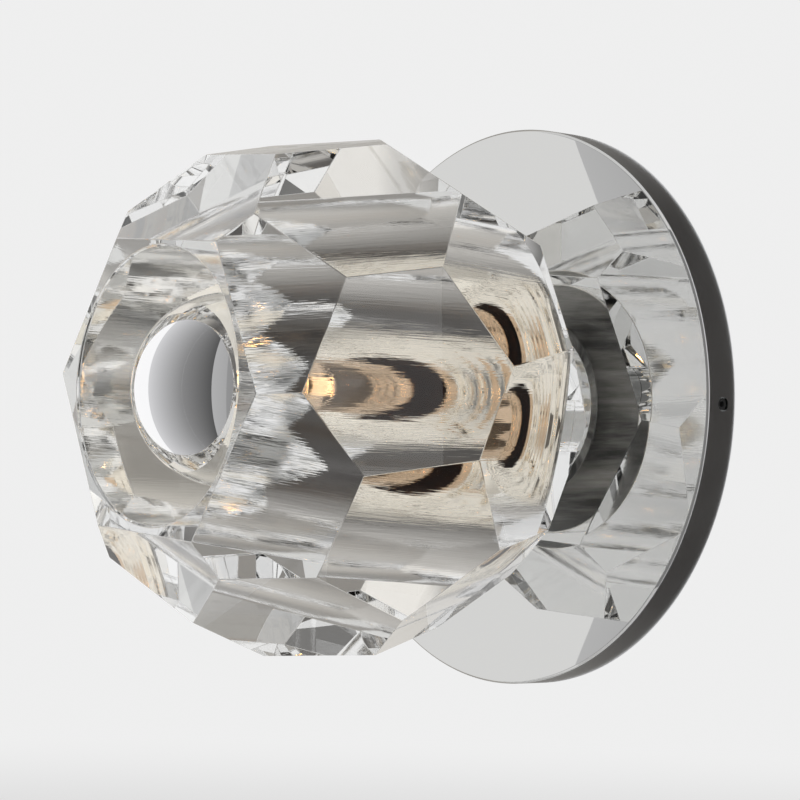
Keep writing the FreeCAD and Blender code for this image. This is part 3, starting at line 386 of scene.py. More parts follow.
def make_collar():
    """Cup between plate and crystal: a wall and an end with a hole for the tube."""
    low, high = reach_of("collar")
    outer = radius_of("collar")
    inner = outer - COLLAR_WALL
    collar = revolved("polished_collar", rounded([
        (inner, low), (outer, low), (outer, high), (TUBE_HOLE_RADIUS, high),
        (TUBE_HOLE_RADIUS, high - COLLAR_END), (inner, high - COLLAR_END)], COLLAR_SOFTENING))
    return carry(collar, "fixture", "collar")


def make_bezel():
    """Stepped ring round the sleeve with softened steps, turned grooves and a rolled lip.

    The grooves are V cuts of one depth, evenly spaced over the face between step and lip.
    """
    low, top = reach_of("bezel_ring")
    outer = radius_of("bezel_ring")
    skirt = radius_of("base_plate") + BEZEL_SKIRT_GAP
    face = low + BEZEL_HEIGHT
    step_edge, lip_edge = outer - BEZEL_STEP_WIDTH, BEZEL_HOLE_RADIUS + BEZEL_LIP_WIDTH
    across = np.linspace(step_edge, lip_edge, 2 * BEZEL_GROOVES + 3)[1:-1]
    depth = np.where(np.arange(len(across)) % 2 == 1, BEZEL_GROOVE_DEPTH, 0.0)
    grooves = np.stack([across, face - depth], axis=-1).tolist()
    bezel = revolved("stepped_bezel", rounded([
        (skirt, low), (outer, low), (outer, low + BEZEL_STEP_HEIGHT),
        (step_edge, low + BEZEL_STEP_HEIGHT), (step_edge, face), *grooves,
        (lip_edge, face), (lip_edge, top),
        (BEZEL_HOLE_RADIUS, top), (BEZEL_HOLE_RADIUS, face - BEZEL_WALL),
        (skirt, face - BEZEL_WALL)], METAL_SOFTENING))
    return carry(bezel, "fixture", "bezel_ring")


def make_sleeve():
    """Straight tube over the lampholder with a lip turned in at its front end."""
    low, high = reach_of("lamp_sleeve")
    outer = radius_of("lamp_sleeve")
    inner = outer - SLEEVE_WALL
    sleeve = revolved("polished_sleeve", rounded([
        (inner, low), (outer, low), (outer, high), (SLEEVE_LIP_HOLE, high),
        (SLEEVE_LIP_HOLE, high - SLEEVE_LIP), (inner, high - SLEEVE_LIP)], METAL_SOFTENING))
    return carry(sleeve, "fixture", "lamp_sleeve")


def globe_centre():
    """Reach of the middle of the globe's ball."""
    return reach_of("lamp_globe")[1] - radius_of("lamp_globe")


def make_globe():
    """Two parallel walls: a sphere about the globe's centre blended by an arc into a neck.

    The sphere is smaller than the node's by the silver film and its gap.
    """
    radius = radius_of("lamp_globe") - CROWN_FILM - CROWN_GAP
    centre = globe_centre()
    start = reach_of("lamp_globe")[0]
    bend = NECK_RADIUS + NECK_CURVE
    reach_out = radius + NECK_CURVE
    drop = math.sqrt(reach_out ** 2 - bend ** 2)
    turn = math.degrees(math.atan2(bend, -drop))
    back_turn = math.degrees(math.atan2(-bend, drop))

    def wall(sphere, neck, curve):
        """Outline of one wall from the globe's front to the neck's open end."""
        round_part = arc((0, centre), sphere, 0, turn, GLOBE_ROWS)
        blend = arc((bend, centre - drop), curve, back_turn, -90, NECK_ROWS)
        return np.concatenate([round_part, blend[1:], [(neck, start)]])

    outside = wall(radius, NECK_RADIUS, NECK_CURVE)
    inside = wall(radius - GLOBE_WALL, NECK_RADIUS - GLOBE_WALL, NECK_CURVE + GLOBE_WALL)
    globe = revolved("clear_globe", np.concatenate([outside, inside[::-1]]))
    return carry(globe, "lamp", "lamp_globe")


def make_crown():
    """Silver film round the front of the globe, out to the crown's angle from the axis."""
    outer = radius_of("lamp_globe")
    centre = (0, globe_centre())
    front = arc(centre, outer, 0, CROWN_ANGLE, CROWN_ROWS)
    back = arc(centre, outer - CROWN_FILM, CROWN_ANGLE, 0, CROWN_ROWS)
    crown = revolved("silvered_crown", np.concatenate([front, back]))
    return carry(crown, "lamp", "lamp_crown")


def make_screw_shell():
    """Screw cap of the lamp: its radius dips by a cosine along a helix of the thread's pitch."""
    low, high = reach_of("lamp_screw_shell")
    skirt = radius_of("lamp_screw_shell")
    thread_top = high - SKIRT_LENGTH - FLARE_HEIGHT
    angle = np.linspace(0, 2 * math.pi, CAP_STEPS, endpoint=False)
    reach = np.linspace(low, thread_top, THREAD_ROWS)[:, None] + 0 * angle
    fade = (np.clip((reach - low) / THREAD_FADE, 0, 1)
            * np.clip((thread_top - reach) / THREAD_FADE, 0, 1))
    phase = 2 * math.pi * (reach - low) / THREAD_PITCH - angle
    threaded = THREAD_CREST - THREAD_DEPTH * fade * (0.5 - 0.5 * np.cos(phase))
    shoulder = high - SKIRT_LENGTH
    inner, bore = skirt - CAP_WALL, THREAD_CREST - CAP_BORE_WALL
    plain = np.array([(skirt, shoulder), (skirt, high - CAP_LIP), (skirt - CAP_LIP_ROUND, high),
                      (inner, high - CAP_LIP_DROP), (inner, shoulder), (bore, shoulder),
                      (bore, low)])
    radius = np.concatenate([threaded, plain[:, :1] + 0 * angle])
    reach = np.concatenate([reach, plain[:, 1:] + 0 * angle])
    points = np.stack([radius * np.cos(angle), -reach, radius * np.sin(angle)], axis=-1)
    shell = grid_mesh("threaded_lamp_cap", points, closed_along=True)
    return carry(shell, "lamp", "lamp_screw_shell")


def make_filament():
    """Coiled wire on an open ring: a small helix carried round most of a circle."""
    low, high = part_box("lamp_filament")
    ring = (high[0] - low[0]) / 2 - COIL_RADIUS
    reach = -(low[1] + high[1]) / 2
    along = np.linspace(0, 1, COIL_TURNS * COIL_STEPS_PER_TURN)[:, None]
    round_wire = np.linspace(0, 2 * math.pi, COIL_WIRE_SIDES, endpoint=False)[None]
    around = math.radians(FILAMENT_SWEEP) * along
    twist = 2 * math.pi * COIL_TURNS * along
    loop = COIL_RADIUS - COIL_WIRE + COIL_WIRE * np.cos(round_wire)
    outward = ring + loop * np.cos(twist)
    lift = loop * np.sin(twist)
    shift = COIL_WIRE * np.sin(round_wire) / ring
    points = np.stack([outward * np.cos(around + shift), -reach + lift + 0 * shift,
                       outward * np.sin(around + shift)], axis=-1)
    coil = grid_mesh("coiled_filament", points)
    caps = bmesh.new()
    caps.from_mesh(coil.data)
    bmesh.ops.holes_fill(caps, edges=caps.edges, sides=0)
    bmesh.ops.recalc_face_normals(caps, faces=caps.faces)
    caps.to_mesh(coil.data)
    caps.free()
    return carry(coil, "lamp", "lamp_filament")


# ---------------------------------------------------------------- materials


def new_material(name):
    """A material with its node tree and its Principled shader."""
    material = bpy.data.materials.new(name)
    material.use_nodes = True
    tree = material.node_tree
    return material, tree, tree.nodes["Principled BSDF"]


def add_node(tree, kind, **values):
    """A node with its properties set, or else its inputs, with _ for a space in their names."""
    node = tree.nodes.new(kind)
    for key, value in values.items():
        if hasattr(node, key):
            setattr(node, key, value)
        else:
            node.inputs[key.replace("_", " ")].default_value = value
    return node


def make_smudge_group():
    """Group: faint cloudy marks on a polished surface, as a roughness and a height."""
    group = bpy.data.node_groups.new("polish_marks", "ShaderNodeTree")
    for label, default in (("Scale", 40.0), ("Roughness", 0.03), ("Marks", 0.02)):
        socket = group.interface.new_socket(label, in_out="INPUT", socket_type="NodeSocketFloat")
        socket.default_value = default
    group.interface.new_socket("Roughness", in_out="OUTPUT", socket_type="NodeSocketFloat")
    group.interface.new_socket("Height", in_out="OUTPUT", socket_type="NodeSocketFloat")
    inside = group.nodes.new("NodeGroupInput")
    outside = group.nodes.new("NodeGroupOutput")
    place = add_node(group, "ShaderNodeTexCoord")
    cloud = add_node(group, "ShaderNodeTexNoise", Detail=4.0)
    group.links.new(place.outputs["Object"], cloud.inputs["Vector"])
    group.links.new(inside.outputs["Scale"], cloud.inputs["Scale"])
    band = add_node(group, "ShaderNodeMapRange", From_Min=0.35, From_Max=0.75)
    group.links.new(cloud.outputs["Fac"], band.inputs["Value"])
    spread = add_node(group, "ShaderNodeMath", operation="MULTIPLY_ADD")
    group.links.new(band.outputs["Result"], spread.inputs[0])
    group.links.new(inside.outputs["Marks"], spread.inputs[1])
    group.links.new(inside.outputs["Roughness"], spread.inputs[2])
    group.links.new(spread.outputs[0], outside.inputs["Roughness"])
    group.links.new(cloud.outputs["Fac"], outside.inputs["Height"])
    return group


def make_turning_group():
    """Group: fine rings left by turning about the reach axis, as a height."""
    group = bpy.data.node_groups.new("turning_lines", "ShaderNodeTree")
    socket = group.interface.new_socket("Scale", in_out="INPUT", socket_type="NodeSocketFloat")
    socket.default_value = 900.0
    group.interface.new_socket("Height", in_out="OUTPUT", socket_type="NodeSocketFloat")
    inside = group.nodes.new("NodeGroupInput")
    outside = group.nodes.new("NodeGroupOutput")
    place = add_node(group, "ShaderNodeTexCoord")
    split = add_node(group, "ShaderNodeSeparateXYZ")
    group.links.new(place.outputs["Object"], split.inputs["Vector"])
    flat = add_node(group, "ShaderNodeCombineXYZ")
    group.links.new(split.outputs["X"], flat.inputs["X"])
    group.links.new(split.outputs["Z"], flat.inputs["Y"])
    span = add_node(group, "ShaderNodeVectorMath", operation="LENGTH")
    group.links.new(flat.outputs["Vector"], span.inputs[0])
    where = add_node(group, "ShaderNodeCombineXYZ")
    group.links.new(span.outputs["Value"], where.inputs["X"])
    group.links.new(split.outputs["Y"], where.inputs["Y"])
    lines = add_node(group, "ShaderNodeTexNoise", Detail=3.0)
    group.links.new(where.outputs["Vector"], lines.inputs["Vector"])
    group.links.new(inside.outputs["Scale"], lines.inputs["Scale"])
    group.links.new(lines.outputs["Fac"], outside.inputs["Height"])
    return group


SMUDGES = make_smudge_group()
TURNING = make_turning_group()

# Depth of fine relief, in metres, and how far waves and streaks are drawn out along one axis.
RING_DEPTH = 0.05 * MM
WAVE_DEPTH = 0.08 * MM
MOTTLE_DEPTH = 0.1 * MM
WAVE_STRETCH = 0.035
STREAK_STRETCH = 0.08
FINE_WAVE_SHARE = 0.6

# Shares of a colour's own level (the faint one for the stem's painted glow), and the coil's
# glow.
MOTTLE = 0.86
FAINT_GLOW = 0.6
COOLER_WIRE = (1.0, 0.50, 0.16)
HOTTER_WIRE = (1.0, 0.66, 0.30)
COIL_GLOW = 60.0


def use_group(tree, group, **values):
    """A group's node with its own values."""
    node = tree.nodes.new("ShaderNodeGroup")
    node.node_tree = group
    for key, value in values.items():
        node.inputs[key].default_value = value
    return node


def mix_tones(tree, share, tone, other):
    """Output of a colour mix from one tone to the other by a share that varies."""
    mix = add_node(tree, "ShaderNodeMix", data_type="RGBA")
    mix.inputs["A"].default_value = (*tone, 1)
    mix.inputs["B"].default_value = (*other, 1)
    tree.links.new(share, mix.inputs["Factor"])
    return mix.outputs["Result"]


def add_bump(tree, shader, height, strength, distance):
    """Let a height that varies tilt the shader's normal."""
    bump = add_node(tree, "ShaderNodeBump", Strength=strength, Distance=distance)
    tree.links.new(height, bump.inputs["Height"])
    tree.links.new(bump.outputs["Normal"], shader.inputs["Normal"])


def polished_metal(name, colour, roughness, marks):
    """Bright metal with faint clouding from handling."""
    material, tree, shader = new_material(name)
    shader.inputs["Base Color"].default_value = (*colour, 1)
    shader.inputs["Metallic"].default_value = 1.0
    smudge = use_group(tree, SMUDGES, Scale=40.0, Roughness=roughness, Marks=marks)
    tree.links.new(smudge.outputs["Roughness"], shader.inputs["Roughness"])
    return material


def satin_metal(name, colour, roughness):
    """Metal with fine turning lines."""
    material, tree, shader = new_material(name)
    shader.inputs["Base Color"].default_value = (*colour, 1)
    shader.inputs["Metallic"].default_value = 1.0
    smudge = use_group(tree, SMUDGES, Scale=60.0, Roughness=roughness, Marks=0.08)
    tree.links.new(smudge.outputs["Roughness"], shader.inputs["Roughness"])
    rings = use_group(tree, TURNING, Scale=2500.0)
    add_bump(tree, shader, rings.outputs["Height"], 0.25, RING_DEPTH)
    return material


def clear_glass(name, index, roughness, marks, tint=(1.0, 1.0, 1.0)):
    """Clear glass with barely visible marks on its surface."""
    material, tree, shader = new_material(name)
    shader.inputs["Base Color"].default_value = (*tint, 1)
    shader.inputs["Transmission Weight"].default_value = 1.0
    shader.inputs["IOR"].default_value = index
    smudge = use_group(tree, SMUDGES, Scale=25.0, Roughness=roughness, Marks=marks)
    tree.links.new(smudge.outputs["Roughness"], shader.inputs["Roughness"])
    return material


def bore_glass(name, index, tint):
    """Clear glass whose surface waves along the reach axis, as a polished bore does."""
    material, tree, shader = new_material(name)
    shader.inputs["Base Color"].default_value = (*tint, 1)
    shader.inputs["Transmission Weight"].default_value = 1.0
    shader.inputs["IOR"].default_value = index
    shader.inputs["Roughness"].default_value = 0.0
    place = add_node(tree, "ShaderNodeTexCoord")
    stretch = add_node(tree, "ShaderNodeMapping")
    stretch.inputs["Scale"].default_value = (1.0, WAVE_STRETCH, 1.0)
    tree.links.new(place.outputs["Object"], stretch.inputs["Vector"])
    broad = add_node(tree, "ShaderNodeTexNoise", Scale=130.0, Detail=1.5)
    fine = add_node(tree, "ShaderNodeTexNoise", Scale=1700.0, Detail=2.0)
    tree.links.new(stretch.outputs["Vector"], broad.inputs["Vector"])
    tree.links.new(stretch.outputs["Vector"], fine.inputs["Vector"])
    both = add_node(tree, "ShaderNodeMath", operation="MULTIPLY_ADD")
    tree.links.new(fine.outputs["Fac"], both.inputs[0])
    both.inputs[1].default_value = FINE_WAVE_SHARE
    tree.links.new(broad.outputs["Fac"], both.inputs[2])
    add_bump(tree, shader, both.outputs[0], 1.0, WAVE_DEPTH)
    return material


def lit_glass(name, index, glow, strength):
    """Glass with a painted warm glow: emission that stands in for light falling on it from close
    by.
    """
    material, tree, shader = new_material(name)
    shader.inputs["Base Color"].default_value = (1.0, 0.97, 0.90, 1)
    shader.inputs["Transmission Weight"].default_value = 0.6
    shader.inputs["IOR"].default_value = index
    cloud = use_group(tree, SMUDGES, Scale=200.0, Roughness=0.15, Marks=0.2)
    tree.links.new(cloud.outputs["Roughness"], shader.inputs["Roughness"])
    fainter = tuple(channel * FAINT_GLOW for channel in glow)
    tones = mix_tones(tree, cloud.outputs["Height"], fainter, glow)
    tree.links.new(tones, shader.inputs["Emission Color"])
    shader.inputs["Emission Strength"].default_value = strength
    return material


def foil_painted_reflection(name, dark, light):
    """Foil face with a painted reflection: soft bands and fine lines that run across, from a
    dark to a light tone, stand in for what the foil reflects.
    """
    material, tree, shader = new_material(name)
    shader.inputs["Roughness"].default_value = 0.25
    place = add_node(tree, "ShaderNodeTexCoord")
    stretch = add_node(tree, "ShaderNodeMapping")
    stretch.inputs["Scale"].default_value = (STREAK_STRETCH, 1.0, 1.0)
    tree.links.new(place.outputs["Object"], stretch.inputs["Vector"])
    bands = add_node(tree, "ShaderNodeTexNoise", Scale=110.0, Detail=6.0, Roughness=0.65)
    tree.links.new(stretch.outputs["Vector"], bands.inputs["Vector"])
    spread = add_node(tree, "ShaderNodeMapRange", From_Min=0.42, From_Max=0.68)
    tree.links.new(bands.outputs["Fac"], spread.inputs["Value"])
    tones = mix_tones(tree, spread.outputs["Result"], dark, light)
    tree.links.new(tones, shader.inputs["Base Color"])
    return material


def moulded(name, colour, roughness, specular=0.5):
    """Moulded or glazed surface with a slight mottle in colour and gloss."""
    material, tree, shader = new_material(name)
    shader.inputs["Specular IOR Level"].default_value = specular
    smudge = use_group(tree, SMUDGES, Scale=90.0, Roughness=roughness, Marks=0.12)
    tree.links.new(smudge.outputs["Roughness"], shader.inputs["Roughness"])
    darker = tuple(channel * MOTTLE for channel in colour)
    tones = mix_tones(tree, smudge.outputs["Height"], darker, colour)
    tree.links.new(tones, shader.inputs["Base Color"])
    add_bump(tree, shader, smudge.outputs["Height"], 0.15, MOTTLE_DEPTH)
    return material


def glowing_coil():
    """Hot wire: a warm glow that varies a little along the coil."""
    material, tree, shader = new_material("glowing_coil")
    smudge = use_group(tree, SMUDGES, Scale=400.0, Roughness=0.4, Marks=0.2)
    tones = mix_tones(tree, smudge.outputs["Height"], COOLER_WIRE, HOTTER_WIRE)
    tree.links.new(tones, shader.inputs["Emission Color"])
    tree.links.new(smudge.outputs["Roughness"], shader.inputs["Roughness"])
    shader.inputs["Emission Strength"].default_value = COIL_GLOW
    shader.inputs["Base Color"].default_value = (0.5, 0.4, 0.3, 1)
    return material


MIRROR_PLATE = polished_metal("mirror_plate", (0.64, 0.64, 0.63), 0.01, 0.01)
SATIN_RIM = satin_metal("satin_rim", (0.72, 0.73, 0.74), 0.28)
CHROME = polished_metal("chrome", (0.86, 0.865, 0.87), 0.02, 0.02)
# The bezel's and bezel screws' warm tint and the sleeve's amber tint are painted light: chrome
# coloured as if lit by the lamp's warm glow.
CHROME_PAINTED_WARM_LIGHT = polished_metal("chrome_painted_warm_light", (0.93, 0.89, 0.83), 0.02, 0.02)
CHROME_PAINTED_AMBER_LIGHT = polished_metal("chrome_painted_amber_light", (0.72, 0.56, 0.42), 0.04, 0.03)
SILVER = polished_metal("silvering", (0.93, 0.93, 0.94), 0.01, 0.01)
BLACK_STEEL = moulded("black_steel", (0.02, 0.02, 0.02), 0.5)
# The base plate is dark steel. Its brown tint is painted amber lamplight falling into the hole
# under the bezel.
BLACK_STEEL_PAINTED_AMBER = moulded("black_steel_painted_amber", (0.032, 0.012, 0.006), 0.5, specular=0.1)
# The pad's dark and light bands are a painted reflection in its colour.
PAD_PAINTED_REFLECTION = foil_painted_reflection("pad_painted_reflection", (0.14, 0.135, 0.13), (0.95, 0.92, 0.88))
ZINC = satin_metal("zinc_steel", (0.62, 0.64, 0.66), 0.35)
BRASS = satin_metal("brass", (0.76, 0.58, 0.27), 0.25)
SOLDER = satin_metal("solder", (0.6, 0.6, 0.62), 0.4)
CRYSTAL = clear_glass("crystal", 1.52, 0.0, 0.004, tint=(0.995, 0.998, 0.995))
# The bore's warm tint is painted lamplight: its faces are the crystal's own glass, coloured as
# if lit by the lamp inside.
BORE = bore_glass("bore_wall", 1.52, (1.0, 0.975, 0.91))
# The stem's glow is painted light from the filament close by.
LIT_STEM = lit_glass("lit_stem", 1.5, (1.0, 0.85, 0.64), 0.8)
LAMP_GLASS = clear_glass("lamp_glass", 1.5, 0.0, 0.006, tint=(0.995, 0.995, 0.99))
CERAMIC = moulded("ceramic", (0.86, 0.84, 0.80), 0.25)
BLACK_PLASTIC = moulded("black_plastic", (0.03, 0.03, 0.03), 0.45)
WHITE_NYLON = moulded("white_nylon", (0.80, 0.80, 0.78), 0.45)
SILICONE = moulded("silicone", (0.72, 0.72, 0.70), 0.35)
BLACK_GLASS = moulded("black_glass", (0.03, 0.03, 0.035), 0.1)
BROWN_LEAD = moulded("brown_lead", (0.20, 0.09, 0.04), 0.4)
BLUE_LEAD = moulded("blue_lead", (0.05, 0.14, 0.45), 0.4)
GREEN_LEAD = moulded("green_lead", (0.22, 0.45, 0.08), 0.4)
COIL = glowing_coil()

FINISHES = {
    "crystal_bush": WHITE_NYLON, "collar_pad": SILICONE, "bore_floor_pad": PAD_PAINTED_REFLECTION,
    "threaded_tube": ZINC, "tube_nuts": ZINC, "tube_washers": ZINC, "base_plate": BLACK_STEEL_PAINTED_AMBER,
    "bezel_screws": CHROME_PAINTED_WARM_LIGHT, "lampholder_cap": BLACK_PLASTIC, "lampholder_body": CERAMIC,
    "lampholder_shell": BRASS, "lampholder_tongue": BRASS, "lampholder_posts": BRASS,
    "lamp_tip": SOLDER, "lamp_insulator": BLACK_GLASS, "lamp_screw_shell": BRASS,
    "lamp_stem": LIT_STEM, "lamp_wires": ZINC, "lamp_filament": COIL, "wall_bracket": ZINC,
    "rim_screw_right": BLACK_STEEL, "rim_screw_left": BLACK_STEEL,
    "terminal_block": WHITE_NYLON, "terminal_ways": BRASS, "terminal_screws": ZINC,
    "terminal_block_screws": ZINC, "earth_screw": BRASS, "earth_washer": BRASS,
    "live_lead": BROWN_LEAD, "neutral_lead": BLUE_LEAD, "earth_lead": GREEN_LEAD,
    "back_plate": MIRROR_PLATE, "collar": CHROME, "bezel_ring": CHROME_PAINTED_WARM_LIGHT,
    "lamp_sleeve": CHROME_PAINTED_AMBER_LIGHT,
    "lamp_globe": LAMP_GLASS, "lamp_crown": SILVER,
}


def finish_nodes():
    """Give every carried-over CAD node its finish."""
    for name, material in FINISHES.items():
        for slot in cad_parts[name].material_slots:
            slot.material = material


# ---------------------------------------------------------------- stage


def area_light(name, place, aim, size, power):
    """A softbox at a place, turned to its aim, that neither metal nor glass shows."""
    data = bpy.data.lights.new(name, "AREA")
    data.shape = "RECTANGLE"
    data.size, data.size_y = size
    data.energy = power
    light = bpy.data.objects.new(name, data)
    light.location = place
    light.rotation_euler = (Vector(aim) - Vector(place)).to_track_quat("-Z", "Y").to_euler()
    light.visible_glossy = False
    light.visible_transmission = False
    bpy.context.scene.collection.objects.link(light)


def hide_from_eye(thing, in_metal=True, in_glass=True):
    """Keep a stage card from the camera; metal's reflections and glass may still show it."""
    thing.visible_camera = False
    thing.visible_diffuse = False
    thing.visible_shadow = False
    thing.visible_glossy = in_metal
    thing.visible_transmission = in_glass


def shaded_card(name, mesh, level, far_level):
    """A card whose glow runs from one level to another along its "across" attribute."""
    card = bpy.data.objects.new(name, mesh)
    bpy.context.scene.collection.objects.link(card)
    material, tree, shader = new_material(name)
    shader.inputs["Base Color"].default_value = (0, 0, 0, 1)
    shader.inputs["Roughness"].default_value = 1.0
    shader.inputs["Emission Strength"].default_value = 1.0
    read = add_node(tree, "ShaderNodeAttribute", attribute_name="across")
    tones = mix_tones(tree, read.outputs["Fac"], level, far_level)
    tree.links.new(tones, shader.inputs["Emission Color"])
    mesh.materials.append(material)
    return card


def sheet_mesh(name, points, share):
    """An open mesh from an (n, m, 3) grid with its (n, m) shares as the attribute "across"."""
    rows, columns = points.shape[:2]
    index = np.arange(rows * columns).reshape(rows, columns)
    faces = np.stack([index[:-1, :-1], index[:-1, 1:], index[1:, 1:], index[1:, :-1]],
                     axis=-1).reshape(-1, 4)
    mesh = bpy.data.meshes.new(name)
    mesh.from_pydata(points.reshape(-1, 3).tolist(), [], faces.tolist())
    across = mesh.attributes.new("across", "FLOAT", "POINT")
    across.data.foreach_set("value", share.reshape(-1).astype(np.float32))
    return mesh


CARD_RADIUS = 0.285
CARD_STEPS = 33
FLARE_ELEVATION = 45.0


def dome_card(name, azimuths, elevations, level, far_level, flare=0.0, radius=CARD_RADIUS):
    """A patch of a ball round the crystal, shaded from its first azimuth to its last.

    Azimuth and elevation are in degrees, azimuth 0 straight out of the wall and 90 to the right.
    The first azimuth moves outwards by the flare times the square of the elevation's share of
    the flare's own elevation.
    """
    rise = np.linspace(*elevations, CARD_STEPS)[:, None]
    share = np.linspace(0, 1, CARD_STEPS)[None] + 0 * rise
    start = azimuths[0] - flare * (rise / FLARE_ELEVATION) ** 2
    turn = np.radians(start + (azimuths[1] - start) * share)
    rise = np.radians(rise)
    points = radius * np.stack([np.sin(turn) * np.cos(rise), -np.cos(turn) * np.cos(rise),
                                np.sin(rise) + 0 * turn], axis=-1)
    points += np.array([0, -CRYSTAL_CENTRE, 0])
    return shaded_card(name, sheet_mesh(name, points, share), level, far_level)


# The wall's plane as metal and glass see it: dark on the right, brighter towards the window on
# the left. The light tone's shares stand at places across, for a band level with the crystal and
# for the wall above and below it. Lengths are in metres.
WALL_DARK = (0.040, 0.036, 0.033)
WALL_LIGHT = (0.82, 0.79, 0.74)
WALL_PLACES = (-0.22, -0.19, -0.16, -0.06, 0.0, 0.06)
BAND_SHARES = (1.0, 0.85, 0.28, 0.26, 0.15, 0.0)
OUTER_SHARES = (1.05, 1.0, 0.62, 0.52, 0.33, 0.02)
BAND_HALF_HEIGHT = 0.05
BAND_FADE = 0.035
WALL_HOLE_GAP = 0.4 * MM
WALL_INSET = 0.2 * MM
WALL_FINE_RADIUS = 0.3
WALL_RADIUS = 2.5


def wall_sheet():
    """Ring in the wall's plane round the plate; its glow rises in steps from right to left.

    The light tone's share runs straight between the places above. The band's shares give way
    to the outer ones over the fade's height.
    """
    angle = np.linspace(0, 2 * math.pi, STEPS + 1)[None]
    radius = np.linspace(PLATE_RADIUS + WALL_HOLE_GAP, WALL_FINE_RADIUS, WALL_ROWS)
    radius = np.append(radius, WALL_RADIUS)[:, None]
    points = np.stack([radius * np.cos(angle), WALL_INSET + 0 * radius * angle,
                       radius * np.sin(angle)], axis=-1)
    band = np.interp(points[..., 0], WALL_PLACES, BAND_SHARES)
    outer = np.interp(points[..., 0], WALL_PLACES, OUTER_SHARES)
    fade = np.clip((np.abs(points[..., 2]) - BAND_HALF_HEIGHT) / BAND_FADE, 0, 1)
    share = band + (outer - band) * fade
    mesh = sheet_mesh("wall_sheet", points, share)
    hide_from_eye(shaded_card("wall_sheet", mesh, WALL_DARK, WALL_LIGHT))


def grey(level):
    """An even grey as a colour."""
    return (level, level, level)


def make_cards():
    """The wall, cards that only metal reflects, and one dark flag seen only through glass."""
    wall_sheet()
    for card in (dome_card("window_card", (-105, -45), (-80, 80), grey(1.0), grey(1.0)),
                 dome_card("front_left_card", (-45, 0), (-75, 75), (0.68, 0.68, 0.69),
                           grey(0.25), flare=17, radius=0.28),
                 dome_card("front_right_card", (0, 31), (-75, 75), grey(0.25), grey(0.09)),
                 dome_card("side_strip", (31, 46), (-75, 75), grey(0.45), grey(0.40)),
                 dome_card("right_card", (46, 70), (-60, 60), grey(0.30), grey(0.26))):
        hide_from_eye(card, in_glass=False)
    flag = dome_card("corner_flag", (28, 46), (30, 46), grey(0.12), grey(0.14))
    hide_from_eye(flag, in_metal=False)


FLOOR_LEVEL = -0.30
FLOOR_HALF = 8.0
STUDIO_GREY = 0.86
FILL_LEVEL = 0.45


def make_floor():
    """Pale floor that fades into the background's colour away from the object."""
    mesh = bpy.data.meshes.new("floor")
    corners = [(across * FLOOR_HALF, out * FLOOR_HALF, FLOOR_LEVEL)
               for across, out in ((-1, -1), (1, -1), (1, 1), (-1, 1))]
    mesh.from_pydata(corners, [], [(0, 1, 2, 3)])
    floor = bpy.data.objects.new("floor", mesh)
    bpy.context.scene.collection.objects.link(floor)
    material, tree, shader = new_material("pale_floor")
    shader.inputs["Base Color"].default_value = (0.82, 0.82, 0.82, 1)
    shader.inputs["Roughness"].default_value = 0.9
    place = add_node(tree, "ShaderNodeTexCoord")
    away = add_node(tree, "ShaderNodeVectorMath", operation="LENGTH")
    tree.links.new(place.outputs["Object"], away.inputs[0])
    fade = add_node(tree, "ShaderNodeMapRange", interpolation_type="SMOOTHSTEP",
                    From_Min=0.5, From_Max=2.2)
    tree.links.new(away.outputs["Value"], fade.inputs["Value"])
    plain = add_node(tree, "ShaderNodeEmission", Strength=STUDIO_GREY)
    blend = tree.nodes.new("ShaderNodeMixShader")
    tree.links.new(fade.outputs["Result"], blend.inputs["Fac"])
    tree.links.new(shader.outputs["BSDF"], blend.inputs[1])
    tree.links.new(plain.outputs["Emission"], blend.inputs[2])
    tree.links.new(blend.outputs["Shader"], tree.nodes["Material Output"].inputs["Surface"])
    mesh.materials.append(material)


def make_world():
    """Pale studio for the eye, metal and glass, and a softer fill for everything else."""
    world = bpy.data.worlds.new("studio")
    world.use_nodes = True
    tree = world.node_tree
    background = tree.nodes["Background"]
    path = tree.nodes.new("ShaderNodeLightPath")
    seen = add_node(tree, "ShaderNodeMath", operation="MAXIMUM")
    tree.links.new(path.outputs["Is Camera Ray"], seen.inputs[0])
    tree.links.new(path.outputs["Is Transmission Ray"], seen.inputs[1])
    seen_too = add_node(tree, "ShaderNodeMath", operation="MAXIMUM")
    tree.links.new(seen.outputs[0], seen_too.inputs[0])
    tree.links.new(path.outputs["Is Glossy Ray"], seen_too.inputs[1])
    level = add_node(tree, "ShaderNodeMapRange", To_Min=FILL_LEVEL, To_Max=STUDIO_GREY)
    tree.links.new(seen_too.outputs[0], level.inputs["Value"])
    tree.links.new(level.outputs["Result"], background.inputs["Strength"])
    background.inputs["Color"].default_value = (1, 1, 1, 1)
    bpy.context.scene.world = world


# Camera as fitted to the photograph: direction, roll, distance, lens and the point it looks at.
CAMERA_AZIMUTH = math.radians(50.07)
CAMERA_ELEVATION = math.radians(-2.05)
CAMERA_ROLL = math.radians(1.56)
CAMERA_DISTANCE = 0.6512
CAMERA_LENS = 117.0
CAMERA_SENSOR = 36.0
CAMERA_AIM = (0.0314, -CRYSTAL_CENTRE, -0.00155)


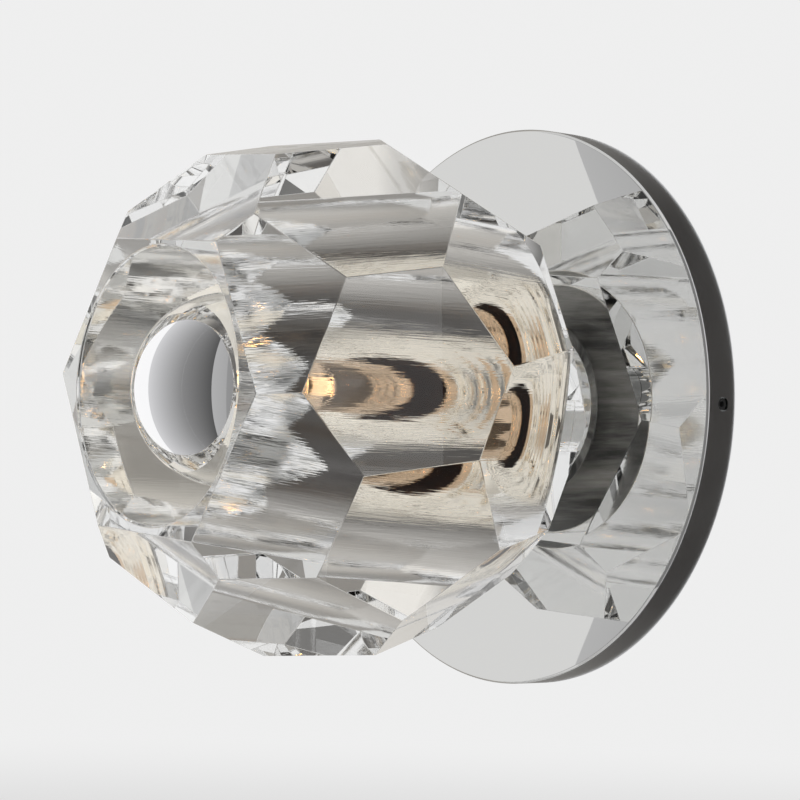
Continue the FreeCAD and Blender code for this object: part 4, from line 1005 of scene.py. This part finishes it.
def make_camera():
    """Camera on the fitted direction; roll turns the picture about the line of sight."""
    back = Vector((math.sin(CAMERA_AZIMUTH) * math.cos(CAMERA_ELEVATION),
                   -math.cos(CAMERA_AZIMUTH) * math.cos(CAMERA_ELEVATION),
                   math.sin(CAMERA_ELEVATION)))
    right = (-back).cross(Vector((0, 0, 1))).normalized()
    up = right.cross(-back)
    cosine, sine = math.cos(CAMERA_ROLL), math.sin(CAMERA_ROLL)
    turned_right = right * cosine + up * sine
    turned_up = up * cosine - right * sine
    data = bpy.data.cameras.new("camera")
    data.lens = CAMERA_LENS
    data.sensor_width = CAMERA_SENSOR
    data.clip_start = 0.01
    data.clip_end = 50.0
    camera = bpy.data.objects.new("camera", data)
    matrix = Matrix((turned_right, turned_up, back)).transposed().to_4x4()
    matrix.translation = Vector(CAMERA_AIM) + back * CAMERA_DISTANCE
    camera.matrix_world = matrix
    bpy.context.scene.collection.objects.link(camera)
    bpy.context.scene.camera = camera


def make_lights():
    """Three plain softboxes round the crystal."""
    middle = (0, -CRYSTAL_CENTRE, 0)
    area_light("left_softbox", (-0.9, -0.75, 0.25), middle, (0.7, 0.9), 5.0)
    area_light("top_softbox", (0.1, -0.5, 1.1), middle, (0.9, 0.7), 5.0)
    area_light("right_softbox", (1.1, -0.6, 0.5), middle, (0.5, 0.8), 3.0)


def set_light_paths():
    """Enough bounces for light to pass in and out of the thick crystal many times."""
    cycles = bpy.context.scene.cycles
    cycles.max_bounces = 24
    cycles.transmission_bounces = 20
    cycles.glossy_bounces = 12
    cycles.diffuse_bounces = 4
    cycles.transparent_max_bounces = 16
    cycles.sample_clamp_indirect = 8.0
    cycles.blur_glossy = 0.2


def assign(piece, *materials):
    """Give a piece its materials, in the order of its slots."""
    for material in materials:
        piece.data.materials.append(material)


def make_pieces():
    """Dress the nodes whose surface is made here, each with its finish."""
    assign(make_crystal(), CRYSTAL, BORE)
    assign(make_back_plate(), MIRROR_PLATE, SATIN_RIM)
    assign(make_collar(), CHROME)
    assign(make_bezel(), CHROME_PAINTED_WARM_LIGHT)
    assign(make_sleeve(), CHROME_PAINTED_AMBER_LIGHT)
    assign(make_globe(), LAMP_GLASS)
    assign(make_crown(), SILVER)
    assign(make_screw_shell(), BRASS)
    assign(make_filament(), COIL)


make_pieces()
finish_nodes()
make_floor()
make_world()
make_cards()
make_lights()
make_camera()
set_light_paths()
bpy.context.scene.view_settings.view_transform = "Standard"
